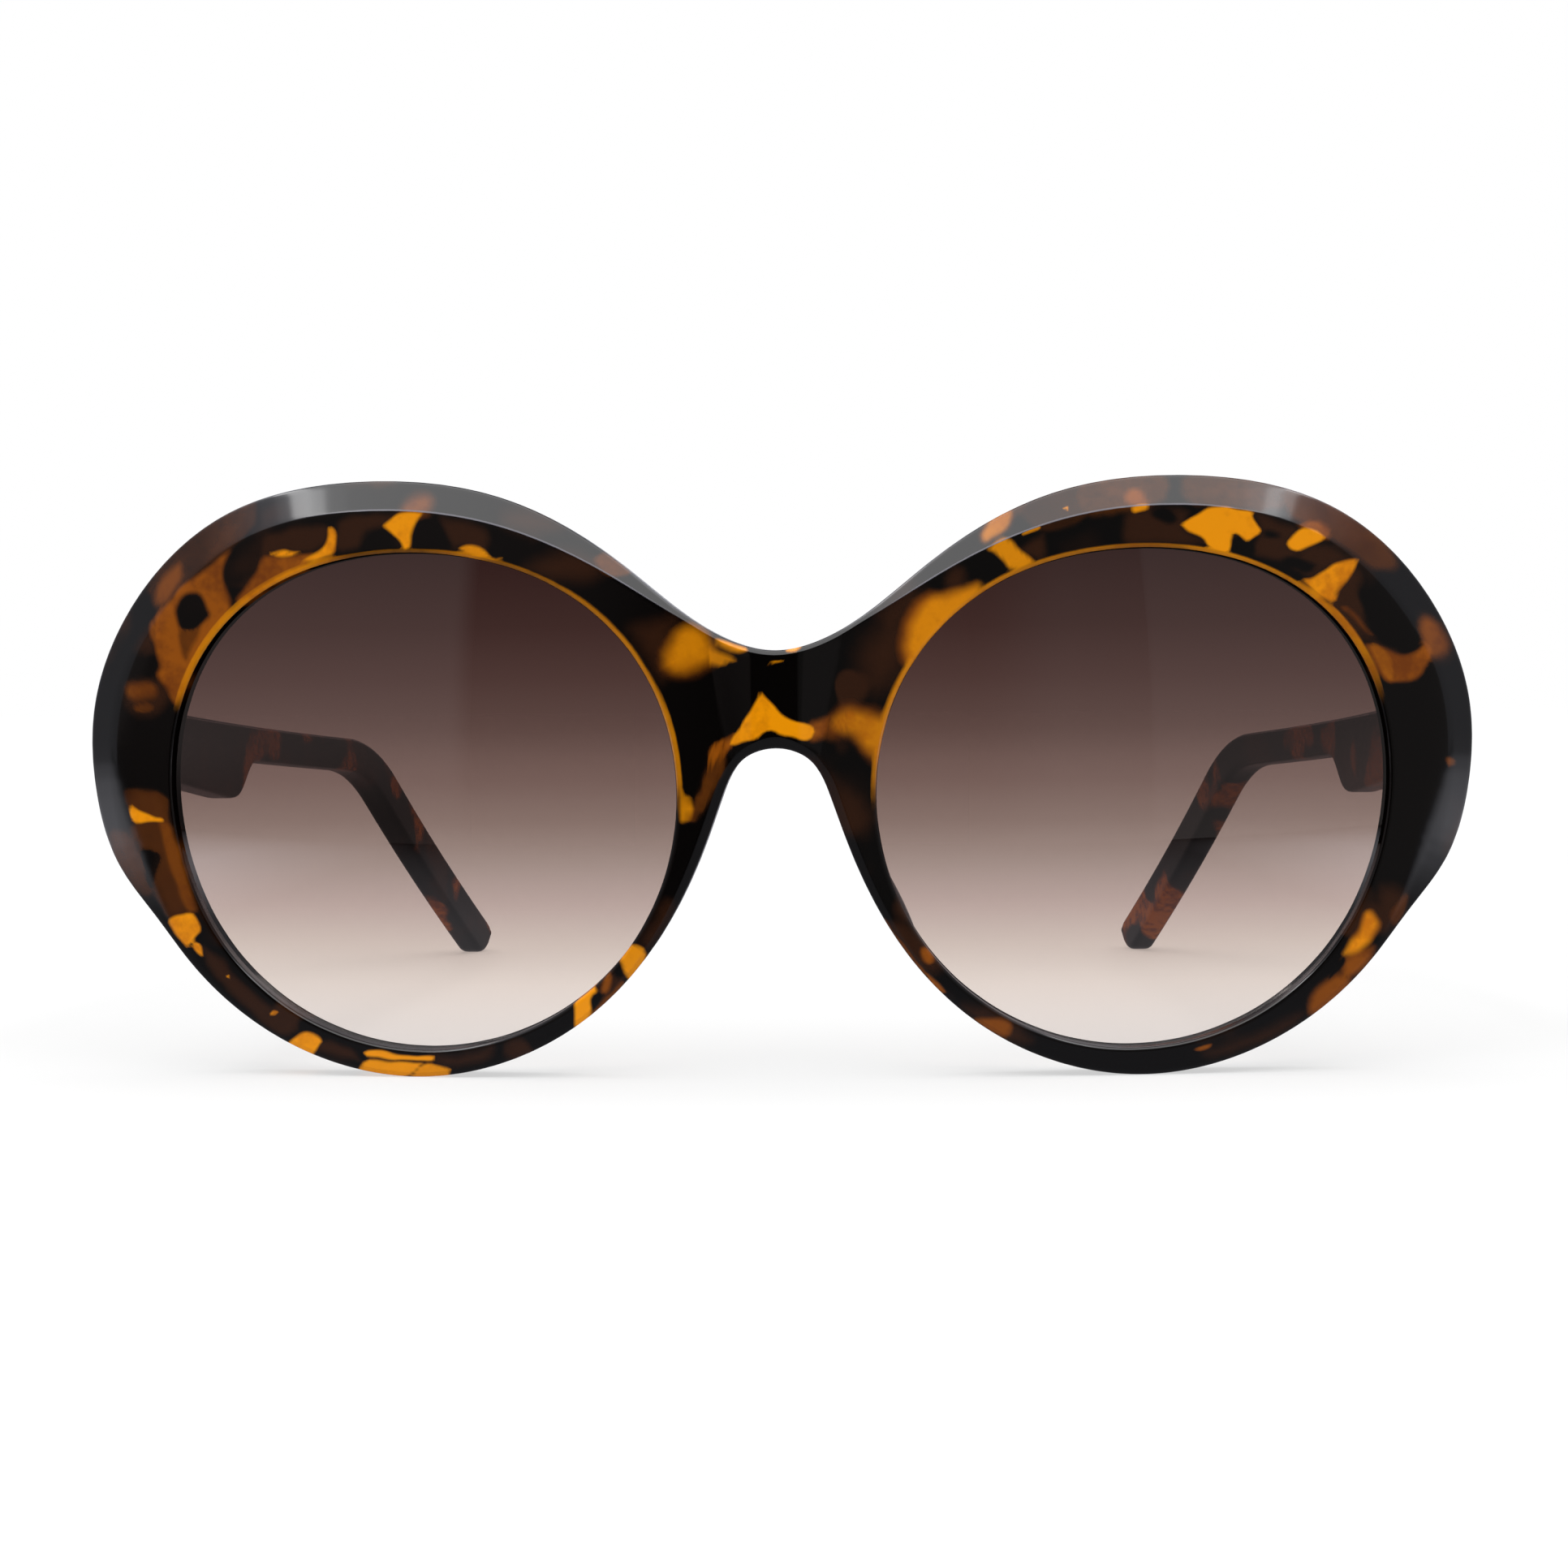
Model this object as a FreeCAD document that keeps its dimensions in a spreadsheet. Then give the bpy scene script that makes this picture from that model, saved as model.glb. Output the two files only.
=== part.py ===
import FreeCAD, Part
import math
import os
import Sketcher
from FreeCAD import Placement, Rotation, Vector

# Oversized sunglasses standing open on a table: +Z up, the front looks along -Y and the temples run
# back along +Y. Sides are the wearer's: left is at +X. The left half is modelled, the right is its
# mirror image.

doc = FreeCAD.newDocument("Sunglasses")

# Driving sizes in millimetres and degrees.
general_sizes = [
    ("overall_depth", 150.0, "bridge front to temple tips"),
    ("wrap_angle", 6.5, "turn of each eye plane about the vertical"),
    ("bridge_width", 21.8, "between the two eye openings"),
    ("lens_half_width", 27.3, "eye opening, centre to side"),
    ("lens_half_height", 26.5, "eye opening, centre to bottom"),
    ("outer_bulge", 2.2, "upper outer corner beyond the ellipse"),
    ("outer_bulge_angle", 42.0, "direction of that corner"),
    ("inner_bulge", 0.8, "upper inner corner beyond the ellipse"),
    ("inner_bulge_angle", 140.0, "direction of that corner"),
    ("rim_thickness", 5.8, "front to back"),
    ("facet_angle", 34.4, "slope of the facets, back from the face"),
    ("bridge_top_rise", 16.25, "bridge top above the lens centre"),
    ("nose_arch_rise", 5.9, "nose arch above the lens centre"),
    ("bridge_top_bevel", 0.35, "bevel over the bridge"),
    ("nose_arch_bevel", 1.1, "bevel under the bridge"),
    ("bridge_flat", 5.2, "flat face in the middle of the bridge"),
    ("bridge_facet_width", 4.2, "slanted face on each side of it, at the bridge top"),
    ("bridge_facet_low_width", 2.2, "the same face at the nose arch"),
    ("bridge_facet_angle", 13.0, "slant of those faces at the bridge top"),
]
# Places round the eye: name, direction from the lens centre, rim width there, facet or bevel width there.
rim_places = [
    ("bridge_shoulder", 150.0, 8.85, 0.35),
    ("brow_inner", 130.0, 6.0, 1.65),
    ("brow", 105.0, 7.0, 3.0),
    ("top", 80.0, 8.05, 3.3),
    ("brow_outer", 55.0, 9.6, 3.6),
    ("temple_upper", 30.0, 10.0, 3.8),
    ("temple_side", 16.0, 10.0, 3.8),
    ("outer_side", 2.0, 9.1, 3.5),
    ("corner", -12.0, 7.5, 2.7),
    ("notch", -22.0, 5.35, 1.1),
    ("low_outer", -35.0, 4.2, 0.4),
    ("lower", -60.0, 3.35, 0.35),
    ("bottom", -90.0, 2.9, 0.35),
    ("low_inner", -125.0, 2.2, 0.4),
    ("nose_low", -150.0, 2.25, 0.6),
    ("nose", -170.0, 3.4, 0.9),
    ("nose_high", -181.0, 4.9, 1.0),
    ("arch_side", -188.0, 7.5, 1.1),
]
lens_sizes = [
    ("lens_base_radius", 140.0, "outer curve of the lens"),
    ("lens_thickness", 2.0, "lens"),
    ("lens_setback", 2.3, "lens edge behind the rim front"),
    ("lens_bite", 0.7, "lens edge inside the groove"),
    ("lens_clearance", 0.05, "groove round the lens edge"),
]
pad_sizes = [
    ("pad_length", 15.0, "nose pad along the nose"),
    ("pad_depth", 7.4, "nose pad front to back"),
    ("pad_thickness", 2.3, "nose pad"),
    ("pad_angle", 202.0, "direction from the lens centre"),
    ("pad_setback", 1.2, "pad centre behind the rim"),
    ("pad_inset", 1.2, "pad centre from the eye opening"),
    ("pad_tilt", 27.0, "lean to follow the nose"),
    ("pad_splay", 8.0, "opening towards the face"),
]
hinge_sizes = [
    ("hinge_rise", 7.4, "hinge centre above the lens centre"),
    ("knuckle_height", 1.5, "one hinge knuckle"),
    ("knuckle_gap", 0.06, "between knuckles"),
    ("barrel_diameter", 2.8, "hinge barrel"),
    ("barrel_clearance", 0.3, "round the barrel"),
    ("screw_diameter", 1.4, "hinge screw"),
    ("screw_clearance", 0.04, "screw in its hole, on the radius"),
    ("screw_head_diameter", 2.1, "screw head"),
    ("screw_head_height", 0.6, "screw head"),
    ("slot_width", 0.35, "screw slot"),
    ("slot_depth", 0.3, "screw slot"),
    ("anchor_thickness", 1.2, "front leaf in the end piece"),
    ("anchor_reach", 6.0, "front leaf, from the axis forward"),
    ("anchor_foot_width", 2.6, "foot that holds the front leaf"),
    ("anchor_foot_depth", 1.0, "foot that holds the front leaf"),
    ("leaf_thickness", 1.2, "temple leaf plate"),
    ("leaf_length", 11.0, "temple leaf plate"),
    ("leaf_proud", 0.2, "plate above the temple's inner face"),
    ("tooth_start", 3.5, "temple leaf tooth, from the axis"),
    ("tooth_length", 4.5, "temple leaf tooth"),
    ("tooth_depth", 1.1, "temple leaf tooth"),
    ("tooth_height", 3.0, "temple leaf tooth"),
    ("end_piece_depth", 2.2, "end piece behind the rim at the hinge"),
    ("end_piece_root", 1.9, "end piece inside the rim"),
    ("end_piece_margin", 0.7, "end piece over and under the temple"),
]
temple_sizes = [
    ("temple_thickness", 4.0, "at the hinge"),
    ("temple_inset", 1.4, "outer face inside the rim's edge"),
    ("temple_gap", 0.12, "temple to end piece when open"),
    ("temple_inner_radius", 414.0, "curve of the inner face"),
    ("temple_outer_radius", 400.0, "curve of the outer face"),
    ("temple_end_above", 5.2, "top edge over the hinge centre"),
    ("temple_end_below", 5.8, "bottom edge under the hinge centre"),
    ("shoulder_length", 15.0, "from the hinge to the straight top edge"),
    ("shoulder_drop", 3.2, "fall of the top edge there"),
    ("shoulder_radius", 40.0, "round of the top edge there"),
    ("stem_slope", 4.2, "fall of the stem"),
    ("stem_height", 4.4, "stem"),
    ("block_length", 42.0, "tall front part"),
    ("block_height", 9.4, "tall front part at its rear corner"),
    ("block_corner_radius", 1.6, "rear corner of the tall part"),
    ("step_length", 5.5, "step from the tall part to the stem"),
    ("step_radius", 6.0, "hollow of the step"),
    ("bend_radius", 30.0, "ear bend, on top"),
    ("ear_angle", 37.0, "fall of the ear end"),
    ("ear_height", 5.0, "ear end"),
    ("tip_radius", 2.3, "round of the tip"),
    ("core_height", 1.6, "core wire"),
    ("core_thickness", 1.1, "core wire"),
    ("core_clearance", 0.05, "channel round the core wire"),
    ("core_depth", 1.5, "core wire centre under the inner face"),
    ("core_start", 14.0, "core wire, from the hinge"),
    ("core_tip_margin", 9.0, "core wire short of the tip"),
]

sheet = doc.addObject("Spreadsheet::Sheet", "Sizes")
sheet_rows = general_sizes + lens_sizes + pad_sizes + hinge_sizes + temple_sizes
for place, angle, rim_width, facet_width in rim_places:
    sheet_rows.append(("rim_" + place, rim_width, "rim width, " + place))
    sheet_rows.append(("facet_" + place, facet_width, "facet width, " + place))
for row, (alias, value, note) in enumerate(sheet_rows, 1):
    sheet.set(f"A{row}", note)
    sheet.set(f"B{row}", str(value))
    sheet.setAlias(f"B{row}", alias)
doc.recompute()


def size(alias):
    return float(sheet.get(alias))


def bind(item, **expressions):
    for name, expression in expressions.items():
        item.setExpression(name, expression)
    return item


# Shared places worked out from the driving sizes.
wrap = math.radians(size("wrap_angle"))
front_y = -size("overall_depth") / 2
tip_y = size("overall_depth") / 2
lens_x = size("bridge_width") / 2 + size("lens_half_width") * math.cos(wrap)
rim_start_x = size("bridge_flat") / 2 + size("bridge_facet_width")
facet_drop = size("bridge_facet_width") * math.tan(math.radians(size("bridge_facet_angle")))
facet_slope = math.tan(math.radians(size("facet_angle")))
bulge_power = 5  # how local the two upper bulges are
mirror_spots = 2  # outline points taken from across the bridge to shape its middle


def rim_front_y(x):
    return front_y + facet_drop + (x - rim_start_x) * math.tan(wrap)


def eye_edge(angle, grow):
    """Point of the eye opening's edge, from the lens centre, grown outward."""
    turn = math.radians(angle)
    bulge = 0.0
    for side in ("outer", "inner"):
        lean = math.cos(turn - math.radians(size(side + "_bulge_angle")))
        bulge += size(side + "_bulge") * max(0.0, lean) ** bulge_power
    across = (size("lens_half_width") + bulge + grow) * math.cos(turn)
    up = (size("lens_half_height") + bulge + grow) * math.sin(turn)
    return across, up


def outline_spots(inset):
    """Left half of the front's outline, bridge top to nose arch, with the facet taken off where asked.

    Each spot is its place across and up, and the facet's width there.
    """
    middle = -lens_x / math.cos(wrap)
    top_bevel = size("bridge_top_bevel")
    arch_bevel = size("nose_arch_bevel")
    spots = [(middle, size("bridge_top_rise") - inset * top_bevel, top_bevel)]
    for place, angle, rim_width, facet_width in rim_places:
        facet = size("facet_" + place)
        spots.append((*eye_edge(angle, size("rim_" + place) - inset * facet), facet))
    spots.append((middle, size("nose_arch_rise") + inset * arch_bevel, arch_bevel))
    return spots


def chord_steps(spots):
    steps = [0.0]
    for start, end in zip(spots, spots[1:]):
        steps.append(steps[-1] + math.hypot(end[0] - start[0], end[1] - start[1]))
    return steps


def with_mirror_spots(spots):
    """The half outline with its neighbours across the middle of the bridge added at both ends."""
    middle = spots[0][0]
    before = [(2 * middle - across, up, facet) for across, up, facet in spots[mirror_spots:0:-1]]
    after = [(2 * middle - across, up, facet) for across, up, facet in spots[-2:-2 - mirror_spots:-1]]
    return before + spots + after


def outline_curve(spots, to_space):
    """Smooth curve through the outline's spots, level where it meets the middle of the bridge."""
    steps = chord_steps(with_mirror_spots(outline_spots(0.0)))
    curve = Part.BSplineCurve()
    curve.interpolate(Points=[to_space(*spot) for spot in with_mirror_spots(spots)], Parameters=steps)
    curve.segment(steps[mirror_spots], steps[-1 - mirror_spots])
    return curve


flat_curve = outline_curve(outline_spots(0.0), lambda across, up, facet: Vector(across, 0, up))
curve_samples = 2000
flat_points = flat_curve.discretize(Number=curve_samples)
lens_z = -min(point.z for point in flat_points)  # the rims' lowest points stand on the table


def eye_place(depth):
    """Maps eye plane sizes to space, at a depth behind the rim's front along Y."""
    def to_space(across, up):
        x = lens_x + across * math.cos(wrap)
        return Vector(x, rim_front_y(x) + depth, lens_z + up)
    return to_space


edge_x = lens_x + max(point.x for point in flat_points) * math.cos(wrap)
hinge_z = lens_z + size("hinge_rise")
temple_outer_x = edge_x - size("temple_inset")
temple_inner_x = temple_outer_x - size("temple_thickness")
hinge_x = temple_inner_x - size("barrel_diameter") / 2 - size("barrel_clearance")
hinge_y = rim_front_y(hinge_x) + size("rim_thickness") + size("end_piece_depth")


def add(kind, name, **properties):
    item = doc.addObject(kind, name)
    for key, value in properties.items():
        setattr(item, key, value)
    return item


def shape_item(name, shape):
    return add("Part::Feature", name, Shape=shape)


def mirrored(name, source):
    return add("Part::Mirroring", name, Source=source, Normal=Vector(1, 0, 0))


def common(name, base, tool):
    return add("Part::Common", name, Base=base, Tool=tool)


def cut(name, base, *tools):
    for count, tool in enumerate(tools, 1):
        step_name = name if count == len(tools) else f"{name}_step_{count}"
        base = add("Part::Cut", step_name, Base=base, Tool=tool)
    return base


def extruded(name, profile, direction, forward, backward=0.0):
    return add("Part::Extrusion", name, Base=profile, DirMode="Custom", Dir=direction, Solid=True,
               LengthFwd=forward, LengthRev=backward)


def upright_cylinder(name, radius, height, x, y, z_low):
    item = add("Part::Cylinder", name, Placement=Placement(Vector(x, y, z_low), Rotation()))
    return bind(item, Radius=radius, Height=height)


# Sketches whose corners and circles are pinned to the sheet.
def sketch_on(body, name, plane_role, level):
    plane = next(item for item in body.Origin.OriginFeatures if item.Role == plane_role)
    sketch = body.newObject("Sketcher::SketchObject", name)
    sketch.AttachmentSupport = [(plane, "")]
    sketch.MapMode = "FlatFace"
    sketch.setExpression("AttachmentOffset.Base.z", level)
    return sketch


def pin(sketch, kind, geometry, position, expression):
    value = float(sheet.evalExpression(expression))
    index = sketch.addConstraint(Sketcher.Constraint(kind, -1, 1, geometry, position, value))
    sketch.setExpression(f"Constraints[{index}]", expression)


def polygon_sketch(body, name, plane_role, level, corners):
    sketch = sketch_on(body, name, plane_role, level)
    spots = [Vector(*(float(sheet.evalExpression(part)) for part in corner), 0) for corner in corners]
    for start, end in zip(spots, spots[1:] + spots[:1]):
        sketch.addGeometry(Part.LineSegment(start, end))
    for index, (across, up) in enumerate(corners):
        previous = (index - 1) % len(corners)
        sketch.addConstraint(Sketcher.Constraint("Coincident", previous, 2, index, 1))
        pin(sketch, "DistanceX", index, 1, across)
        pin(sketch, "DistanceY", index, 1, up)
    return sketch


def box_sketch(body, name, level, left, right, low, high):
    corners = [(left, low), (right, low), (right, high), (left, high)]
    return polygon_sketch(body, name, "XY_Plane", level, corners)


def circle_sketch(body, name, level, radius):
    sketch = sketch_on(body, name, "XY_Plane", level)
    start = float(sheet.evalExpression(radius))
    sketch.addGeometry(Part.Circle(Vector(0, 0, 0), Vector(0, 0, 1), start))
    sketch.addConstraint(Sketcher.Constraint("Coincident", 0, 3, -1, 1))
    index = sketch.addConstraint(Sketcher.Constraint("Radius", 0, start))
    sketch.setExpression(f"Constraints[{index}]", radius)
    return sketch


def pad(body, sketch, height):
    item = body.newObject("PartDesign::Pad", sketch.Name + "_pad")
    item.Profile = sketch
    return bind(item, Length=height)


def pocket(body, sketch, depth):
    item = body.newObject("PartDesign::Pocket", sketch.Name + "_pocket")
    item.Profile = sketch
    return bind(item, Length=depth)


# Front: each half is lofted from its faceted face to its back, then the bridge plate and the end piece
# join it.
def half_section(name, inset, depth_at):
    def to_space(across, up, facet):
        return eye_place(depth_at(facet))(across, up)

    edge = outline_curve(outline_spots(inset), to_space).toShape()
    closing = Part.makeLine(edge.Vertexes[-1].Point, edge.Vertexes[0].Point)
    return shape_item(name, Part.Wire([edge, closing]))


face_section = half_section("face_section", 1.0, lambda facet: 0.0)
shoulder_section = half_section("shoulder_section", 0.0, lambda facet: facet * facet_slope)
back_section = half_section("back_section", 0.0, lambda facet: size("rim_thickness"))
rim_half = add("Part::Loft", "rim_half", Sections=[face_section, shoulder_section, back_section],
               Solid=True, Ruled=True)


def plate_plan(name, rise):
    """Plan of the bridge plate at a height; its slanted face narrows toward the nose arch."""
    share = (rise - size("nose_arch_rise")) / (size("bridge_top_rise") - size("nose_arch_rise"))
    low_width = size("bridge_facet_low_width")
    flat_x = size("bridge_flat") / 2
    outer_x = flat_x + low_width + share * (size("bridge_facet_width") - low_width)
    outer_y = rim_front_y(outer_x)
    corners = [(0, front_y), (flat_x, front_y), (outer_x, outer_y), (0, outer_y), (0, front_y)]
    return shape_item(name, Part.makePolygon([Vector(x, y, lens_z + rise) for x, y in corners]))


plate_run = size("rim_thickness")  # the plate is drawn past the bridge's edges, then trimmed to them
plate_low = plate_plan("plate_low", size("nose_arch_rise") - plate_run)
plate_high = plate_plan("plate_high", size("bridge_top_rise") + plate_run)
bridge_plate = add("Part::Loft", "bridge_plate", Sections=[plate_low, plate_high], Solid=True, Ruled=True)
face_prism = extruded("face_prism", face_section, Vector(0, -1, 0), 2 * facet_drop)
bridge_half = common("bridge_half", face_prism, bridge_plate)

end_piece_x = hinge_x - size("barrel_diameter") / 2 - size("barrel_clearance")
end_piece_z = hinge_z - size("temple_end_below") - size("end_piece_margin")
end_piece_y = hinge_y - size("end_piece_depth") - size("end_piece_root")
end_piece = add("Part::Box", "end_piece", Length=temple_outer_x - end_piece_x,
                Placement=Placement(Vector(end_piece_x, end_piece_y, end_piece_z), Rotation()))
bind(end_piece, Width="Sizes.end_piece_depth + Sizes.end_piece_root",
     Height="Sizes.temple_end_above + Sizes.temple_end_below + 2 * Sizes.end_piece_margin")

front_half = add("Part::MultiFuse", "front_half", Shapes=[rim_half, bridge_half, end_piece])
front_half_right = mirrored("front_half_right", front_half)
front_blank = add("Part::MultiFuse", "front_blank", Shapes=[front_half, front_half_right])

# Lens and its groove: a spherical shell trimmed to the eye opening's edge.
eye_normal = Vector(-math.sin(wrap), math.cos(wrap), 0)
eye_reach = 4 * size("rim_thickness")  # eye cutters run well past both faces of the rim
edge_steps = 36  # points of the eye edge's curve


def eye_prism(name, grow):
    to_space = eye_place(0.0)
    curve = Part.BSplineCurve()
    turns = [360.0 * step / edge_steps for step in range(edge_steps)]
    curve.interpolate(Points=[to_space(*eye_edge(turn, grow)) for turn in turns], PeriodicFlag=True)
    outline = shape_item(name + "_edge", Part.Wire(curve.toShape()))
    return extruded(name, outline, eye_normal, eye_reach, eye_reach)


def lens_shell(name, grow, spare):
    base_radius = size("lens_base_radius")
    sag = base_radius - math.sqrt(base_radius ** 2 - size("lens_half_width") ** 2)
    centre = eye_place(0.0)(0.0, 0.0) + eye_normal * (size("lens_setback") - sag + base_radius)
    place = Placement(centre, Rotation())
    outer = add("Part::Sphere", name + "_outer", Placement=place)
    bind(outer, Radius=f"Sizes.lens_base_radius + {spare}")
    inner = add("Part::Sphere", name + "_inner", Placement=place)
    bind(inner, Radius=f"Sizes.lens_base_radius - Sizes.lens_thickness - {spare}")
    return cut(name, common(name + "_cap", eye_prism(name + "_prism", grow), outer), inner)


eye_opening = eye_prism("eye_opening", 0.0)
left_lens = lens_shell("left_lens", size("lens_bite"), "0")
lens_groove = lens_shell("lens_groove", size("lens_bite") + size("lens_clearance"),
                         "Sizes.lens_clearance")

# Nose pad: a flattened egg, cut flat where it is bonded to the back of the rim.
pad_spot = eye_edge(size("pad_angle"), size("pad_inset"))
pad_centre = eye_place(size("rim_thickness") + size("pad_setback"))(*pad_spot)
pad_turn = Rotation(Vector(0, 1, 0), -size("pad_tilt")) * Rotation(Vector(0, 0, 1), -size("pad_splay"))
pad_egg = add("Part::Ellipsoid", "pad_egg", Placement=Placement(pad_centre, pad_turn))
bind(pad_egg, Radius1="Sizes.pad_length / 2", Radius2="Sizes.pad_thickness / 2",
     Radius3="Sizes.pad_depth / 2")
wrap_turn = Rotation(Vector(0, 0, 1), size("wrap_angle"))
rim_back = Placement(eye_place(size("rim_thickness"))(*pad_spot), wrap_turn)
pad_trim = add("Part::Box", "pad_trim")
bind(pad_trim, Length="2 * Sizes.pad_length", Width="Sizes.pad_depth", Height="2 * Sizes.pad_length")
trim_corner = Vector(-size("pad_length"), -size("pad_depth"), -size("pad_length"))
pad_trim.Placement = rim_back * Placement(trim_corner, Rotation())
left_nose_pad = cut("left_nose_pad", pad_egg, pad_trim)

# Hinge: knuckles on a vertical screw, drawn round the axis; every second one belongs to the temple.
hinge_place = Placement(Vector(hinge_x, hinge_y, hinge_z), Rotation())
knuckles = 5
temple_knuckles = range(1, knuckles, 2)
hinge_height = f"({knuckles} * Sizes.knuckle_height + {knuckles - 1} * Sizes.knuckle_gap)"
hinge_low = f"(-{hinge_height} / 2)"
hinge_top = f"({hinge_height} / 2)"
barrel_radius = "Sizes.barrel_diameter / 2"
barrel_room = f"({barrel_radius} + Sizes.barrel_clearance)"
screw_hole = "(Sizes.screw_diameter / 2 + Sizes.screw_clearance)"
head_room = "(Sizes.screw_head_diameter / 2 + Sizes.screw_clearance)"


def knuckle_low(number):
    return f"({hinge_low} + {number} * (Sizes.knuckle_height + Sizes.knuckle_gap))"


def hinge_body(name):
    return add("PartDesign::Body", name, Placement=hinge_place)


front_leaf = hinge_body("left_hinge_front_leaf")
pad(front_leaf, circle_sketch(front_leaf, "front_barrel", hinge_low, barrel_radius), hinge_height)
anchor_half = "Sizes.anchor_thickness / 2"
anchor = box_sketch(front_leaf, "anchor", hinge_low, f"-{anchor_half}", anchor_half,
                    "-Sizes.anchor_reach", "0")
pad(front_leaf, anchor, hinge_height)
foot_half = "Sizes.anchor_foot_width / 2"
foot = box_sketch(front_leaf, "anchor_foot", hinge_low, f"-{foot_half}", foot_half, "-Sizes.anchor_reach",
                  "Sizes.anchor_foot_depth - Sizes.anchor_reach")
pad(front_leaf, foot, hinge_height)
for number in temple_knuckles:
    band_top = f"{knuckle_low(number)} + Sizes.knuckle_height + Sizes.knuckle_gap"
    band = circle_sketch(front_leaf, f"knuckle_space_{number}", band_top, barrel_room)
    pocket(front_leaf, band, "Sizes.knuckle_height + 2 * Sizes.knuckle_gap")
pocket(front_leaf, circle_sketch(front_leaf, "front_screw_hole", hinge_top, screw_hole), hinge_height)
head_recess = circle_sketch(front_leaf, "head_recess", hinge_top, head_room)
pocket(front_leaf, head_recess, "Sizes.screw_head_height")

temple_leaf = hinge_body("left_hinge_temple_leaf")
plate_left = f"{barrel_room} - Sizes.leaf_proud"
plate_right = f"{barrel_room} + Sizes.leaf_thickness"
plate = box_sketch(temple_leaf, "leaf_plate", hinge_low, plate_left, plate_right, "Sizes.temple_gap",
                   "Sizes.leaf_length")
pad(temple_leaf, plate, hinge_height)
for number in temple_knuckles:
    web = box_sketch(temple_leaf, f"web_{number}", knuckle_low(number), "0", plate_right,
                     "Sizes.temple_gap", barrel_radius)
    pad(temple_leaf, web, "Sizes.knuckle_height")
    knuckle = circle_sketch(temple_leaf, f"knuckle_{number}", knuckle_low(number), barrel_radius)
    pad(temple_leaf, knuckle, "Sizes.knuckle_height")
tooth = box_sketch(temple_leaf, "leaf_tooth", "-Sizes.tooth_height / 2", plate_right,
                   f"{plate_right} + Sizes.tooth_depth", "Sizes.tooth_start",
                   "Sizes.tooth_start + Sizes.tooth_length")
pad(temple_leaf, tooth, "Sizes.tooth_height")
pocket(temple_leaf, circle_sketch(temple_leaf, "temple_screw_hole", hinge_top, screw_hole), hinge_height)

screw = hinge_body("left_hinge_screw")
screw_radius = "Sizes.screw_diameter / 2"
head_radius = "Sizes.screw_head_diameter / 2"
head_low = f"{hinge_top} - Sizes.screw_head_height"
screw_profile = polygon_sketch(screw, "screw_profile", "XZ_Plane", "0", [
    ("0", hinge_low), (screw_radius, hinge_low), (screw_radius, head_low), (head_radius, head_low),
    (head_radius, hinge_top), ("0", hinge_top)])
screw_turn = screw.newObject("PartDesign::Revolution", "screw_turned")
screw_turn.Profile = screw_profile
screw_turn.ReferenceAxis = (screw_profile, ["V_Axis"])
slot_half = "Sizes.slot_width / 2"
slot = box_sketch(screw, "screw_slot", hinge_top, "-Sizes.screw_head_diameter",
                  "Sizes.screw_head_diameter", f"-{slot_half}", slot_half)
pocket(screw, slot, "Sizes.slot_depth")

# The front is opened for the lenses and takes the hinge leaves.
room_height = f"{hinge_height} + 2 * Sizes.barrel_clearance"
knuckle_room = upright_cylinder("knuckle_room", barrel_room, room_height, hinge_x, hinge_y, hinge_z)
knuckle_room.setExpression("Placement.Base.z", f"{hinge_z} + {hinge_low} - Sizes.barrel_clearance")
left_cutters = [eye_opening, lens_groove, knuckle_room, front_leaf]
right_cutters = [mirrored(cutter.Name + "_right", cutter) for cutter in left_cutters]
front_frame = cut("front_frame", front_blank, *left_cutters, *right_cutters)


# Temple: a side outline trimmed between the curves of its inner and outer faces.
def line_meet(start, slope, other_start, other_slope):
    rise = other_start[1] - start[1] + slope * start[0] - other_slope * other_start[0]
    y = rise / (slope - other_slope)
    return y, start[1] + slope * (y - start[0])


def rounded_wire(corners):
    """Closed outline in the YZ plane; each corner is (y, z, radius)."""
    spots = [Vector(0, y, z) for y, z, radius in corners]
    ends = []
    edges = []
    for index, (y, z, radius) in enumerate(corners):
        before = (spots[index - 1] - spots[index]).normalize()
        after = (spots[(index + 1) % len(spots)] - spots[index]).normalize()
        inside = before.getAngle(after)
        reach = radius / math.tan(inside / 2)
        start = spots[index] + before * reach
        end = spots[index] + after * reach
        if radius > 0:
            toward = (before + after).normalize()
            middle = spots[index] + toward * (radius / math.sin(inside / 2) - radius)
            edges.append(Part.Arc(start, middle, end).toShape())
        ends.append((start, end))
    for (start, end), (next_start, next_end) in zip(ends, ends[1:] + ends[:1]):
        edges.append(Part.makeLine(end, next_start))
    return Part.Wire(Part.__sortEdges__(edges))


stem_fall = -math.tan(math.radians(size("stem_slope")))
ear_turn = math.radians(size("ear_angle"))
ear_fall = -math.tan(ear_turn)
ear_along = (math.cos(ear_turn), -math.sin(ear_turn))
ear_up = (math.sin(ear_turn), math.cos(ear_turn))
tip_round = size("tip_radius")
tip_spare = size("ear_height") / 2 - tip_round
ear_end = (tip_y - tip_round + tip_round * ear_along[0] - tip_spare * ear_up[0],
           tip_round + tip_round * ear_along[1] + tip_spare * ear_up[1])
shoulder = (hinge_y + size("shoulder_length"), hinge_z + size("temple_end_above") - size("shoulder_drop"))


def stem_spot(y, below):
    return y, shoulder[1] + stem_fall * (y - shoulder[0]) - below


def ear_spot(short, above):
    return tuple(ear_end[axis] - short * ear_along[axis] + above * ear_up[axis] for axis in (0, 1))


def bend_spot(below, above):
    return line_meet(stem_spot(shoulder[0], below), stem_fall, ear_spot(0.0, above), ear_fall)


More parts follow.
